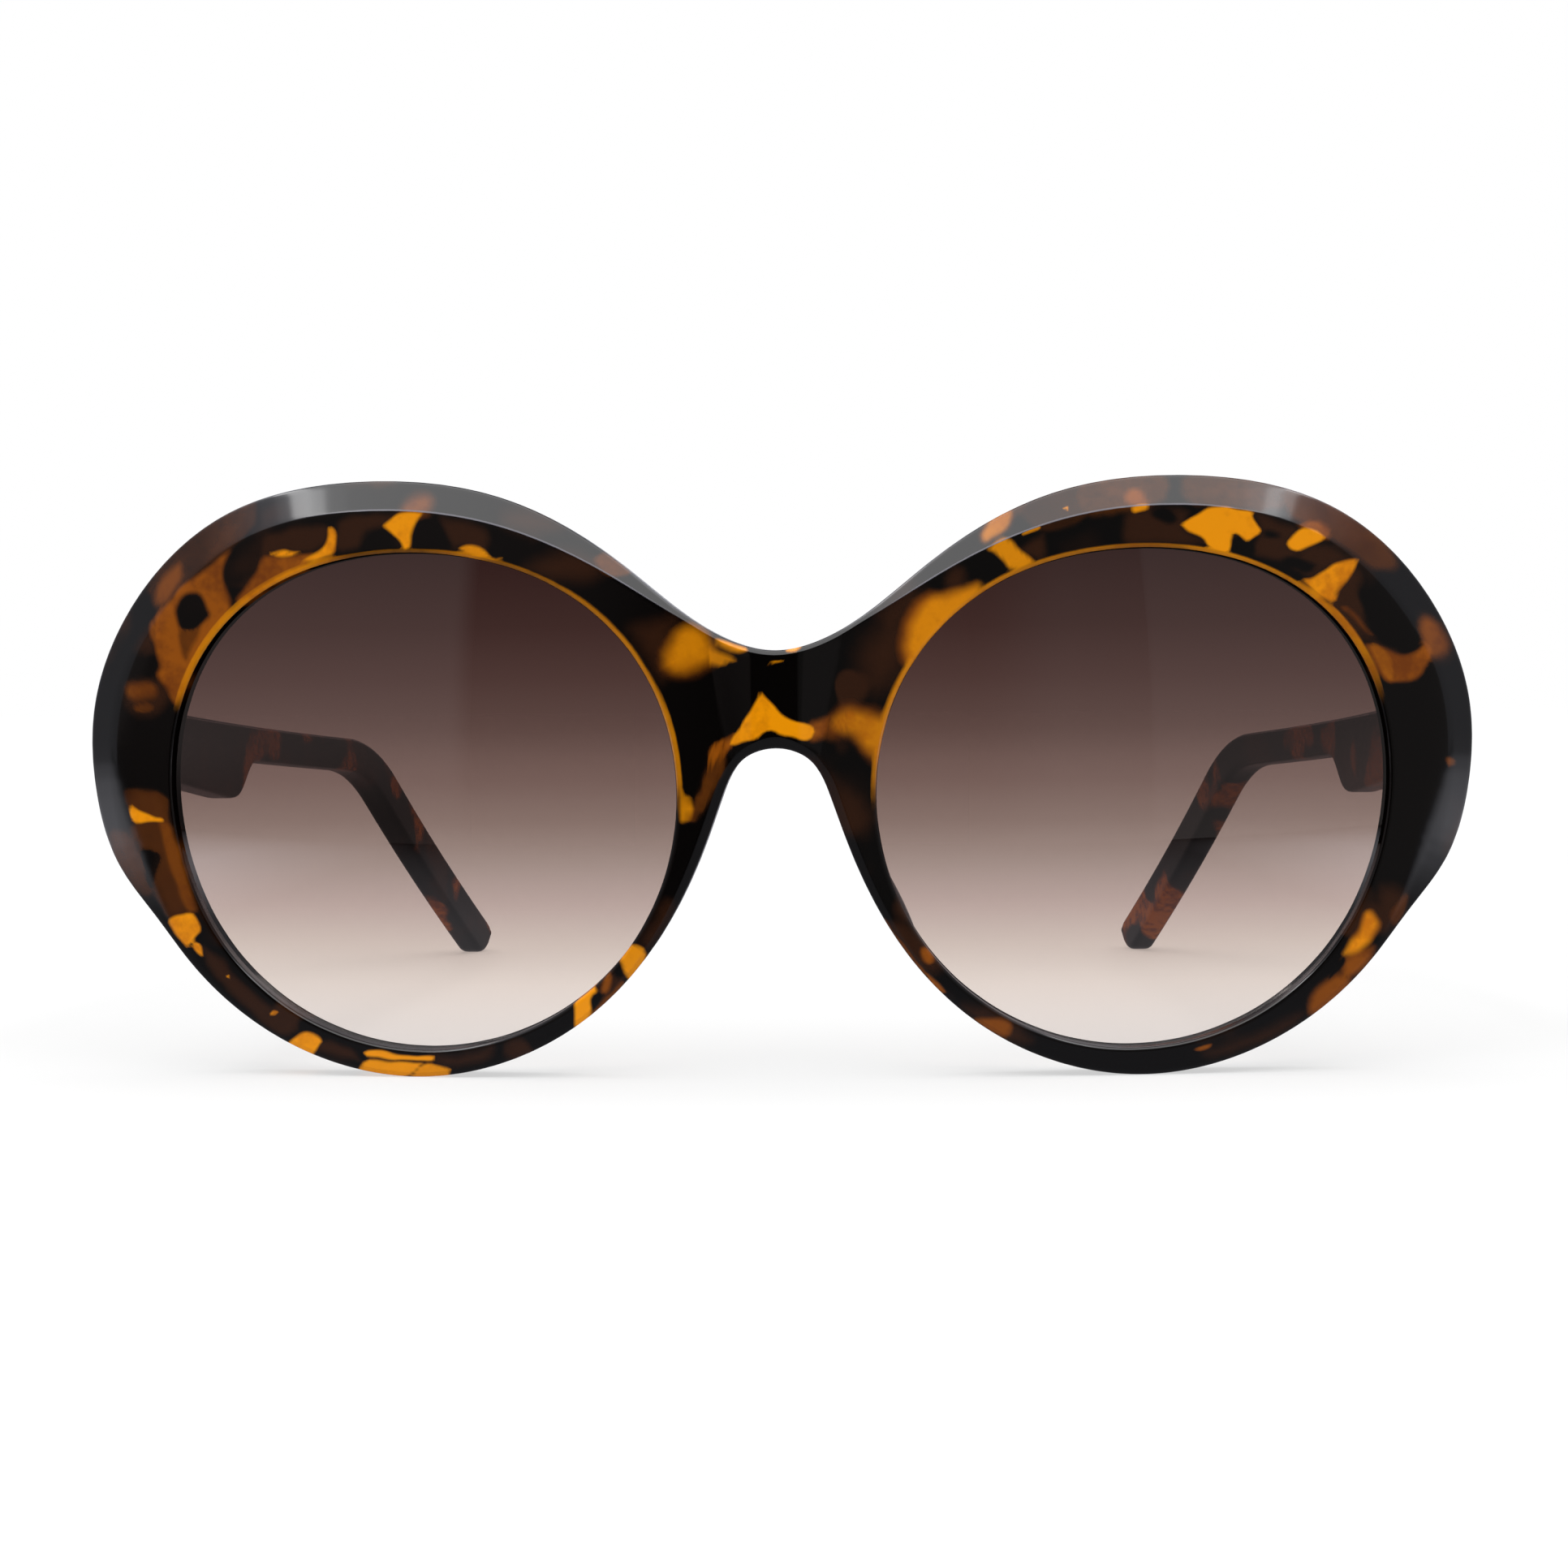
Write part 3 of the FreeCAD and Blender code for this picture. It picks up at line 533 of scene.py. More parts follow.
class HalfMesh:
    def __init__(self):
        self.points = []
        self.faces = []
        self.sharpFaces = 0

    def line(self, points):
        start = len(self.points)
        self.points += points
        return list(range(start, len(self.points)))

    def strip(self, first, second):
        for a, b, c, d in zip(first, first[1:], second[1:], second):
            self.faces.append((a, b, c, d))


def spotAt(spots, index):
    low = min(int(index), len(spots) - 2)
    return spots[low].blend(spots[low + 1], index - low)


def creaseIndex(spots, x, fromTop):
    # where along the edge the face's rim passes a given x, from the bridge top or from the nose arch
    order = range(len(spots)) if fromTop else range(len(spots) - 1, -1, -1)
    previous = None
    for index in order:
        spot = spots[index]
        across = (spot.place + spot.inward * spot.bevel).x
        if across >= x:
            if previous is None:
                return float(index)
            share = (x - previous[1]) / (across - previous[1])
            return previous[0] + (index - previous[0]) * share
        previous = (index, across)


def addRings(half, spots, topIndex, archIndex):
    ring = [spotAt(spots, topIndex)]
    ring += spots[int(topIndex) + 1:math.ceil(archIndex)]
    ring.append(spotAt(spots, archIndex))
    outers = [outerSection(spot) for spot in ring]
    turns = []
    for line in outers:
        turn = eyeTurn(Vector((line[0].x, line[0].z)))
        while turns and turn > turns[-1] + math.pi:
            turn -= 2 * math.pi
        turns.append(turn)
    count = front["sectorLines"]
    seam = [Vector((line[0].x, line[0].z)) for line in (outers[-1], outers[0])]
    seamFace = between(outers[-1][0], outers[0][0], count)
    seamBack = between(outers[-1][-1], outers[0][-1], count)
    sectorTurns = [eyeTurn(spot) for spot in between(*seam, count)]
    allTurns = turns + [turn - 2 * math.pi if turn > 0 else turn for turn in sectorTurns]
    openings = [eyeRadii(turn, front["lipDepth"])[0] for turn in allTurns]
    openings = smoothed(openings, front["openingSoft"], lambda value: value)
    faceEnds = [line[0] for line in outers] + seamFace
    backEnds = [line[-1] for line in outers] + seamBack
    innerLines = [half.line(innerSection(*parts)) for parts in zip(allTurns, openings, faceEnds, backEnds)]
    for first, second in zip(innerLines, innerLines[1:] + innerLines[:1]):
        half.strip(first, second)
    outerLines = []
    for line, inner in zip(outers, innerLines):
        outerLines.append([inner[-1]] + half.line(line[1:-1]) + [inner[0]])
    for first, second in zip(outerLines, outerLines[1:]):
        half.strip(first, second)
    sectors = innerLines[len(outers):]
    return (outerLines[-1] + [line[0] for line in sectors] + outerLines[0][::-1]
            + [line[-1] for line in reversed(sectors)])


def addBridge(half, spots, column, topIndex, archIndex):
    # columns from the seam to the middle; each is a closed section of the bridge
    rows = front["sectorLines"]
    for topX, archX, count in front["bridgeLines"]:
        nextTop = creaseIndex(spots, topX, True)
        nextArch = creaseIndex(spots, archX, False)
        for step in range(1, count + 1):
            share = step / count
            sections = []
            for start, end in ((archIndex, nextArch), (topIndex, nextTop)):
                spot = spotAt(spots, start + (end - start) * share)
                inside = spot.place + spot.inward * (spot.bevel + front["creaseStep"])
                sections.append(outerSection(spot, faceDepthAt(inside)))
            arch, top = sections
            loop = arch + between(arch[-1], top[-1], rows) + top[::-1] + between(top[0], arch[0], rows)
            spotIds = half.line(loop)
            half.strip(column + column[:1], spotIds + spotIds[:1])
            column = spotIds
        topIndex, archIndex = nextTop, nextArch
    for index in column:
        half.points[index].x = 0.0


def addEndPiece(half):
    # the block behind the rim that carries the hinge, taken from the solid
    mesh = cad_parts["front_frame"].data
    least = front["thickness"] - front["backSpare"]
    blockDepth = least + front["leastStep"]
    ids = {}
    for face in mesh.polygons:
        corners = [mesh.vertices[index].co for index in face.vertices]
        depths = [corner.y - faceY(corner.x) for corner in corners]
        if face.center.x > front["seamX"] and min(depths) > least and max(depths) > blockDepth:
            for index, corner in zip(face.vertices, corners):
                if index not in ids:
                    ids[index] = half.line([corner.copy()])[0]
            half.faces.append(tuple(ids[index] for index in face.vertices))
            half.sharpFaces += 1


def buildHalf():
    half = HalfMesh()
    spots = edgeSpots()
    topIndex = creaseIndex(spots, front["seamX"], True)
    archIndex = creaseIndex(spots, front["seamX"], False)
    column = addRings(half, spots, topIndex, archIndex)
    addBridge(half, spots, column, topIndex, archIndex)
    addEndPiece(half)
    return half


def mirroredMesh(name, half):
    points = list(half.points)
    twin = []
    for index, point in enumerate(half.points):
        if abs(point.x) < front["middleSpare"]:
            twin.append(index)
        else:
            twin.append(len(points))
            points.append(Vector((-point.x, point.y, point.z)))
    faces = list(half.faces)
    faces += [tuple(twin[index] for index in reversed(face)) for face in half.faces]
    mesh = bpy.data.meshes.new(name)
    mesh.from_pydata(points, [], faces)
    mesh.shade_smooth()
    for count in (len(half.faces), len(faces)):
        for index in range(count - half.sharpFaces, count):
            mesh.polygons[index].use_smooth = False
    return mesh


def shownObject(name, mesh, material, body):
    mesh.validate()
    mesh.update()
    mesh.materials.append(material)
    piece = bpy.data.objects.new(name, mesh)
    bpy.context.scene.collection.objects.link(piece)
    weighted = piece.modifiers.new("evenShading", "WEIGHTED_NORMAL")
    weighted.keep_sharp = True
    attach(piece, body)
    return piece


frontPiece = shownObject("front", mirroredMesh("front", buildHalf()), frontMaterial, "front")
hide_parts("front_frame")
# the lenses lie almost flush, so the rim isn't mirrored in them
frontPiece.visible_glossy = False
print("front built", len(frontPiece.data.vertices))

# camera: low in front of the bridge
camera = {
    "place": (10.2 * mm, -427.4 * mm, 47.4 * mm), "yaw": 1.516, "pitch": -2.567, "roll": -0.383,
    "focalPixels": 4121.0, "imagePixels": 1932.0, "noseColumn": 954.0, "sensor": 36.0,
    "clipStart": 1 * mm,
}


def photoCamera():
    data = bpy.data.cameras.new("camera")
    data.sensor_width = camera["sensor"]
    data.lens = camera["focalPixels"] / camera["imagePixels"] * camera["sensor"]
    data.clip_start = camera["clipStart"]
    view = bpy.data.objects.new("camera", data)
    yaw, pitch, roll = (math.radians(camera[turn]) for turn in ("yaw", "pitch", "roll"))
    view.matrix_world = (Matrix.Translation(camera["place"]) @ Matrix.Rotation(yaw, 4, "Z")
                         @ Matrix.Rotation(math.pi / 2 + pitch, 4, "X") @ Matrix.Rotation(roll, 4, "Z"))
    bpy.context.scene.collection.objects.link(view)
    return view


photoView = photoCamera()
bpy.context.scene.camera = photoView
print("camera set")


def onFace(across, down):
    # x and z of the face at a pixel of the photograph, to a tenth of a millimetre
    middle = camera["imagePixels"] / 2
    aim = Vector((across - middle, middle - down, -camera["focalPixels"]))
    ray = photoView.matrix_world.to_3x3() @ aim
    eye = photoView.matrix_world.translation
    slope = faceSlope if across > camera["noseColumn"] else -faceSlope
    spot = eye + ray * (faceStart + slope * eye.x - eye.y) / (ray.y - slope * ray.x)
    return round(spot.x / mm, 1), round(spot.z / mm, 1)


# patches of the tortoiseshell on the front, outlined over the photograph: softness of the edge in
# millimetres, limit of the strength, then the pixel of each corner in the photograph, across and down
patches = {
    "amber": (
        (0.17, 4, 333, 681, 345, 678, 360, 680, 372, 680, 360, 684, 345, 685),
        (0.17, 4, 403, 652, 408, 650, 413, 658, 414, 668, 412, 683, 395, 689, 374, 693, 384, 683, 395, 679,
         402, 671, 404, 660),
        (0.17, 4, 472, 650, 480, 641, 490, 633, 505, 631, 521, 632, 515, 640, 509, 652, 506, 662, 505, 677,
         497, 678, 493, 668, 486, 660),
        (0.17, 0.5, 566, 678, 575, 673, 588, 671, 597, 678, 604, 686, 611, 691, 590, 687, 575, 683),
        (0.1, 4, 613, 687, 619, 687, 617, 690),
        (0.14, 4, 160, 992, 164, 993, 172, 998, 182, 1004, 192, 1008, 201, 1008, 201, 1013, 185, 1013,
         162, 1014, 160, 1004),
        (0.16, 4, 206, 1135, 216, 1130, 236, 1123, 243, 1132, 248, 1146, 241, 1152, 238, 1159, 232, 1168,
         222, 1157, 213, 1145),
        (0.12, 4, 238, 1160, 247, 1163, 250, 1178, 240, 1172),
        (0.12, 4, 332, 1250, 338, 1245, 343, 1247, 338, 1252),
        (0.1, 0.4, 279, 1203, 283, 1201, 284, 1206),
        (0.16, 4, 352, 1288, 368, 1275, 376, 1270, 388, 1274, 399, 1281, 392, 1288, 384, 1304, 366, 1298),
        (0.12, 4, 449, 1296, 458, 1294, 480, 1298, 505, 1301, 536, 1300, 535, 1307, 505, 1306, 478, 1304,
         452, 1301),
        (0.16, 0.7, 449, 1304, 470, 1307, 500, 1309, 520, 1310, 513, 1319, 500, 1326, 475, 1326, 441, 1320),
        (0.17, 0.5, 508, 1326, 522, 1312, 535, 1311, 556, 1318, 548, 1332, 520, 1332),
        (0.17, 4, 708, 1233, 716, 1222, 729, 1213, 734, 1218, 738, 1222, 730, 1226, 726, 1234, 728, 1243,
         726, 1254, 718, 1264, 708, 1268, 709, 1246),
        (0.19, 0.5, 763, 1182, 770, 1172, 780, 1163, 797, 1172, 791, 1186, 782, 1199, 774, 1208, 768, 1192),
        (0.35, 0.2, 838, 985, 848, 983, 854, 990, 852, 1006, 840, 1010),
        (0.14, 4, 936, 851, 948, 866, 962, 880, 976, 889, 992, 893, 1004, 896, 1001, 912, 990, 912,
         978, 909, 962, 906, 952, 900, 944, 899, 937, 903, 931, 910, 915, 913, 903, 919, 898, 915, 905, 904,
         914, 898, 917, 886, 924, 876, 931, 865),
        (1, 0.12, 826, 813, 831, 798, 838, 787, 846, 780, 854, 780, 864, 789, 873, 800, 868, 809, 850, 816,
         836, 822, 829, 821),
        (0.26, 0.1, 874, 797, 890, 804, 907, 812, 895, 817, 884, 821, 872, 816),
        (0.1, 0.6, 943, 820, 950, 816, 958, 814, 967, 815, 958, 818, 948, 821),
        # the next two are painted highlights, amber glints on the top bevel of the bridge
        (0.14, 1, 884, 786, 900, 792, 920, 798, 921, 803, 905, 800, 888, 792),
        (0.14, 1, 969, 802, 978, 799, 989, 796, 980, 804, 970, 805),
        (0.87, 0.05, 1031, 893, 1038, 882, 1048, 879, 1060, 881, 1074, 888, 1087, 890, 1085, 905, 1079, 926,
         1070, 918, 1060, 904, 1048, 896, 1038, 896),
        (0.7, 0.25, 1144, 743, 1153, 738, 1166, 738, 1181, 733, 1205, 722, 1201, 736, 1186, 749, 1171, 761,
         1156, 774, 1145, 787, 1133, 804, 1124, 814, 1119, 800, 1123, 785, 1128, 769, 1135, 754),
        (0.26, 0.4, 1219, 676, 1228, 668, 1240, 662, 1248, 667, 1256, 676, 1266, 686, 1274, 693, 1262, 699,
         1250, 703, 1242, 700, 1236, 690, 1228, 682),
        (0.087, 0.3, 1258, 658, 1281, 648, 1283, 651, 1262, 660),
        (0.4, -0.1, 1214, 657, 1223, 642, 1234, 633, 1244, 630, 1240, 646, 1228, 656, 1215, 663),
        (0.1, 0.3, 1309, 625, 1317, 623, 1315, 631),
        (0.16, 0.6, 1394, 623, 1415, 621, 1414, 627, 1404, 630, 1395, 632),
        (0.14, 4, 1454, 647, 1465, 641, 1474, 635, 1482, 628, 1492, 623, 1508, 624, 1525, 628, 1544, 630,
         1542, 636, 1546, 645, 1554, 655, 1545, 661, 1536, 667, 1532, 662, 1525, 657, 1518, 656, 1517, 664,
         1518, 675, 1512, 681, 1500, 678, 1488, 673, 1482, 664, 1472, 657, 1462, 653),
        (0.16, 4, 1586, 667, 1596, 658, 1606, 649, 1620, 652, 1633, 661, 1622, 670, 1606, 676, 1598, 680,
         1590, 675),
        (0.17, 4, 1606, 714, 1620, 713, 1632, 703, 1645, 694, 1660, 690, 1673, 690, 1668, 702, 1660, 714,
         1652, 724, 1643, 743, 1630, 737, 1618, 727),
        (0.35, 4, 1684, 1124, 1690, 1123, 1697, 1130, 1699, 1140, 1692, 1152, 1684, 1162, 1676, 1170,
         1668, 1174, 1657, 1175, 1664, 1162, 1674, 1148, 1682, 1134),
        (0.35, -0.45, 1693, 797, 1702, 800, 1712, 815, 1714, 834, 1705, 822),
    ),
    "honey": (
        (0.26, 4, 281, 679, 276, 692, 274, 705, 277, 722, 286, 743, 279, 761, 265, 776, 252, 793, 241, 813,
         233, 831, 226, 851, 217, 868, 206, 848, 197, 838, 193, 830, 196, 812, 192, 800, 190, 785, 188, 772,
         190, 762, 197, 750, 206, 742, 212, 738, 217, 729, 228, 719, 243, 711, 256, 700, 268, 688),
        (0.26, 4, 290, 737, 305, 722, 316, 706, 323, 692, 330, 684, 350, 685, 372, 684, 384, 682, 380, 700,
         364, 707, 345, 716, 326, 727, 309, 740, 296, 746),
        (0.26, 1, 188, 764, 191, 778, 192, 793, 186, 786, 184, 772),
        (0.79, 0.1, 196, 716, 206, 706, 216, 698, 220, 712, 210, 726, 202, 738, 195, 742, 190, 730),
        (0.52, 0.1, 155, 852, 160, 844, 175, 842, 188, 846, 191, 855, 184, 858, 165, 860),
        (0.26, -0.3, 166, 871, 178, 868, 187, 872, 180, 877, 168, 876),
        (0.79, 0.2, 498, 626, 508, 614, 522, 611, 530, 620, 522, 633, 500, 633),
        (0.52, -0.25, 735, 690, 745, 685, 760, 695, 771, 705, 750, 706),
        (0.22, 4, 905, 903, 903, 921, 893, 928, 884, 935, 876, 940, 872, 936, 876, 921, 884, 914, 896, 909),
        (0.35, -0.35, 880, 938, 892, 930, 890, 945, 880, 966, 868, 990, 856, 1008, 848, 1008, 862, 985,
         870, 960),
        (0.35, 1, 996, 892, 1010, 888, 1024, 882, 1020, 902, 1006, 914, 998, 912),
        (1, 0.2, 822, 812, 828, 792, 843, 778, 858, 780, 876, 797, 878, 811, 858, 820, 836, 828, 824, 826),
        (0.79, 0.4, 1016, 897, 1024, 888, 1038, 874, 1055, 872, 1074, 877, 1090, 884, 1086, 925, 1079, 938,
         1064, 918, 1050, 902, 1036, 901, 1022, 908),
        (0.52, 1, 1124, 748, 1140, 731, 1160, 732, 1178, 730, 1203, 719, 1202, 737, 1160, 776, 1126, 818,
         1112, 816, 1110, 795, 1115, 770),
        (0.52, 0.5, 1213, 656, 1222, 641, 1233, 630, 1247, 627, 1241, 646, 1228, 656, 1214, 664),
        (0.52, 0.4, 1385, 613, 1394, 601, 1408, 604, 1415, 619, 1396, 623),
        (0.35, 0.5, 1604, 646, 1616, 639, 1634, 645, 1643, 656, 1634, 663, 1618, 653),
        (0.26, 0.3, 1652, 748, 1668, 750, 1690, 766, 1703, 774, 1700, 784, 1688, 780, 1676, 768),
        (0.22, 4, 1683, 794, 1702, 796, 1715, 804, 1730, 808, 1742, 806, 1752, 798, 1758, 788, 1764, 795,
         1766, 807, 1758, 819, 1750, 831, 1742, 841, 1725, 838, 1710, 842, 1697, 824),
        (0.7, 0.25, 1752, 770, 1762, 763, 1776, 775, 1787, 791, 1781, 805, 1765, 808, 1757, 790),
        (0.26, 0.2, 1783, 935, 1790, 934, 1795, 941, 1787, 944),
        (0.44, 0.1, 198, 1014, 206, 1014, 217, 1045, 231, 1090, 241, 1122, 232, 1122, 219, 1090, 205, 1050),
        (0.52, -0.52, 166, 1016, 201, 1013, 212, 1040, 224, 1076, 238, 1120, 224, 1128, 212, 1130,
         201, 1112, 195, 1098, 201, 1062, 198, 1050, 180, 1044, 170, 1034),
        (0.52, -0.4, 158, 978, 200, 980, 202, 1009, 185, 1005, 170, 997, 160, 990),
        (1, -0.55, 140, 1036, 153, 1036, 165, 1062, 178, 1092, 168, 1086, 150, 1062),
        (0.26, 0.4, 743, 1207, 750, 1199, 754, 1206, 748, 1222, 742, 1222),
        (0.26, 0, 715, 1259, 730, 1249, 745, 1233, 766, 1211, 761, 1223, 740, 1247, 722, 1262),
        (0.22, 0.6, 1134, 1170, 1142, 1167, 1151, 1178, 1148, 1189, 1140, 1185),
        (0.14, 0.7, 1142, 1200, 1150, 1205, 1158, 1212, 1167, 1223, 1160, 1223, 1150, 1214),
        (0.17, 0, 1090, 1133, 1100, 1149, 1120, 1174, 1141, 1200, 1136, 1201, 1112, 1174, 1092, 1147),
        (0.35, 0.3, 1203, 1258, 1220, 1255, 1236, 1255, 1247, 1264, 1242, 1277, 1230, 1275, 1215, 1267),
        (0.5, 0.5, 1664, 1174, 1690, 1168, 1688, 1182, 1672, 1200, 1654, 1206, 1654, 1190),
        (0.5, 0.4, 1620, 1223, 1634, 1210, 1650, 1201, 1666, 1208, 1656, 1224, 1642, 1240, 1624, 1252,
         1612, 1246),
        (0.14, 0.5, 1473, 1293, 1480, 1289, 1493, 1286, 1491, 1291, 1480, 1295),
        (0.44, -0.3, 1714, 1128, 1724, 1118, 1732, 1106, 1728, 1122, 1718, 1136),
        (1, -0.35, 1590, 610, 1640, 620, 1690, 652, 1715, 692, 1692, 692, 1655, 658, 1606, 636),
        (1, -0.45, 1335, 602, 1380, 591, 1430, 593, 1425, 612, 1372, 622, 1340, 626),
        (1, -0.6, 1268, 628, 1310, 605, 1338, 599, 1338, 625, 1290, 645),
        (1, -0.5, 1470, 592, 1530, 594, 1580, 604, 1570, 620, 1500, 612, 1470, 610),
        (1, -0.6, 188, 722, 230, 668, 270, 640, 300, 624, 300, 648, 260, 680, 215, 722),
    ),
    "brown": (
        (0.35, 4, 324, 664, 345, 656, 365, 649, 400, 648, 404, 655, 400, 670, 390, 677, 372, 679, 345, 677,
         332, 682, 322, 690),
        (0.79, 4, 272, 650, 294, 644, 292, 660, 281, 675, 266, 684, 253, 692, 258, 672),
        (0.7, 4, 186, 776, 191, 796, 192, 804, 180, 804, 168, 800, 174, 788),
        (0.61, 4, 156, 842, 180, 836, 197, 839, 210, 853, 206, 866, 190, 880, 165, 880, 152, 862),
        (0.35, 4, 415, 641, 440, 635, 480, 634, 492, 633, 472, 650, 455, 652, 446, 663, 440, 677, 416, 679,
         416, 660),
        (0.44, 4, 543, 640, 580, 645, 598, 652, 601, 665, 597, 681, 570, 672, 562, 677, 550, 660),
        (0.87, 4, 650, 700, 665, 689, 700, 679, 732, 690, 742, 706, 720, 717, 700, 713, 675, 713),
        (0.87, 4, 620, 628, 660, 630, 688, 650, 652, 657, 620, 646),
        (0.52, 4, 160, 974, 201, 978, 212, 1040, 238, 1120, 214, 1129, 196, 1100, 176, 1050, 162, 1014),
        (0.79, 4, 138, 1030, 157, 1030, 168, 1060, 184, 1098, 170, 1092, 148, 1066),
        (0.35, 4, 248, 1166, 270, 1180, 300, 1214, 335, 1244, 366, 1268, 352, 1277, 320, 1257, 290, 1227,
         260, 1197),
        (0.35, 4, 386, 1292, 400, 1281, 420, 1289, 436, 1294, 442, 1306, 410, 1301),
        (0.52, 4, 536, 1299, 560, 1304, 590, 1296, 606, 1291, 605, 1303, 570, 1313, 540, 1312),
        (0.35, 4, 733, 1217, 742, 1207, 752, 1197, 762, 1184, 770, 1195, 770, 1207, 760, 1218, 748, 1230,
         740, 1228),
        (0.7, 4, 790, 1160, 806, 1140, 818, 1112, 828, 1114, 816, 1146, 800, 1168),
        (1, 4, 778, 776, 800, 768, 832, 762, 822, 790, 814, 836, 798, 806),
        (0.35, 4, 878, 938, 894, 930, 892, 946, 882, 968, 870, 992, 858, 1010, 846, 1010, 860, 985,
         868, 958),
        (1.4, 4, 1058, 802, 1080, 780, 1100, 763, 1122, 768, 1120, 800, 1106, 832, 1086, 850, 1068, 846),
        (0.52, 4, 1163, 716, 1174, 699, 1190, 704, 1188, 724, 1172, 731),
        (1.2, 4, 1088, 748, 1120, 724, 1136, 734, 1116, 766, 1100, 792, 1083, 784),
        (0.35, 4, 1260, 676, 1276, 666, 1285, 658, 1288, 680, 1281, 692),
        (0.44, 4, 1384, 640, 1394, 631, 1415, 629, 1450, 628, 1464, 632, 1456, 648, 1470, 660, 1484, 669,
         1450, 669, 1410, 669, 1384, 669),
        (0.35, 4, 1544, 632, 1565, 640, 1590, 648, 1602, 651, 1588, 664, 1586, 672, 1596, 681, 1614, 690,
         1628, 691, 1618, 704, 1600, 702, 1580, 692, 1560, 686, 1543, 681, 1548, 668, 1556, 656),
        (0.79, 4, 1638, 638, 1665, 644, 1692, 660, 1672, 670, 1646, 656),
        (0.44, 4, 1598, 682, 1612, 675, 1630, 671, 1652, 677, 1662, 689, 1645, 695, 1630, 703, 1612, 713),
        (0.61, 4, 1648, 745, 1670, 748, 1694, 764, 1706, 774, 1703, 796, 1690, 790, 1674, 768),
        (0.79, 4, 1756, 760, 1772, 764, 1792, 790, 1786, 812, 1766, 812),
        (0.7, 4, 1698, 1092, 1720, 1094, 1734, 1105, 1724, 1132, 1708, 1148, 1700, 1132),
        (0.7, 4, 1486, 1298, 1520, 1286, 1560, 1272, 1602, 1250, 1592, 1264, 1550, 1284, 1500, 1300),
        (0.61, 4, 1093, 1142, 1110, 1134, 1132, 1150, 1147, 1166, 1162, 1190, 1150, 1201, 1130, 1191,
         1108, 1166),
        (0.7, 4, 1188, 1240, 1220, 1244, 1252, 1262, 1268, 1282, 1240, 1287, 1208, 1266),
        (0.87, 4, 1470, 604, 1500, 596, 1545, 600, 1552, 612, 1500, 612),
        (0.79, 4, 1360, 600, 1385, 592, 1412, 598, 1418, 616, 1380, 616),
    ),
    "dark": (
        (0.26, 4, 283, 678, 293, 667, 310, 664, 325, 664, 323, 690, 315, 706, 305, 722, 293, 734, 284, 739,
         278, 722, 274, 703, 277, 690),
        (0.26, 4, 222, 737, 232, 731, 246, 730, 252, 740, 256, 750, 260, 758, 252, 768, 243, 777, 232, 778,
         222, 776, 217, 762, 214, 750),
        (0.35, 0.15, 220, 774, 246, 774, 237, 795, 229, 812, 224, 802),
        (0.26, 4, 165, 820, 175, 808, 190, 804, 195, 812, 197, 822, 192, 832, 185, 837, 175, 833, 168, 828),
        (0.26, 4, 440, 677, 448, 662, 460, 652, 472, 650, 482, 660, 490, 670, 495, 680, 470, 682),
        (0.26, 4, 509, 652, 516, 640, 522, 635, 540, 639, 549, 655, 557, 668, 562, 678, 508, 678, 506, 662),
        (0.22, 4, 168, 1048, 182, 1045, 198, 1050, 199, 1060, 194, 1075, 191, 1085, 194, 1100, 186, 1097,
         178, 1080, 172, 1062),
        (0.17, 4, 728, 1228, 736, 1221, 745, 1224, 743, 1233, 734, 1241, 728, 1243, 726, 1236),
        (0.26, 4, 756, 1190, 763, 1182, 769, 1192, 770, 1205, 760, 1206, 754, 1198),
        (0.26, 4, 1417, 628, 1430, 623, 1445, 628, 1453, 638, 1448, 647, 1432, 642, 1420, 637),
        (0.16, 4, 1519, 656, 1527, 658, 1534, 664, 1545, 672, 1548, 681, 1535, 680, 1522, 676, 1517, 668),
        (0.26, 4, 1555, 654, 1565, 651, 1577, 656, 1579, 662, 1566, 664, 1556, 660),
        (0.26, 4, 1574, 690, 1590, 685, 1610, 690, 1623, 695, 1615, 709, 1598, 703, 1581, 698),
        (0.35, 4, 1652, 724, 1665, 712, 1690, 700, 1712, 705, 1732, 740, 1750, 770, 1757, 788, 1746, 804,
         1735, 808, 1715, 801, 1700, 795, 1690, 785, 1670, 760, 1655, 746, 1645, 735),
        (0.17, 4, 1654, 1177, 1661, 1181, 1656, 1192, 1644, 1203, 1633, 1210, 1640, 1195),
        (0.52, 4, 1022, 912, 1036, 905, 1050, 908, 1062, 924, 1070, 940, 1050, 950, 1030, 935),
        (0.12, 4, 933, 910, 938, 903, 945, 899, 953, 901, 962, 906, 950, 908),
    ),
    "wobble": 0.22, "wobbleScale": 0.6, "wobbleSeed": 5, "softer": 1.5, "none": -4.0, "boxSpare": 4.0,
    "sharpCorner": math.radians(80), "cornerCut": 0.25,
    "lipSoft": 0.2 * mm, "lipShare": 0.6,
    # where the painted highlight along the top crease lies, and its strength
    "creaseHighlightTurns": (64.0, 148.0), "creaseHighlightDepth": (0.003 * mm, 0.1 * mm), "creaseHighlightInset": 2 * mm,
    "creaseHighlightFade": 10.0, "creaseHighlightMost": 0.4,
    "recessReach": 34 * mm, "recessSpare": 0.1 * mm, "recessFade": 6.0, "recessLow": -0.35,
    "recessLeast": 0.6, "recessMost": 2.0,
}
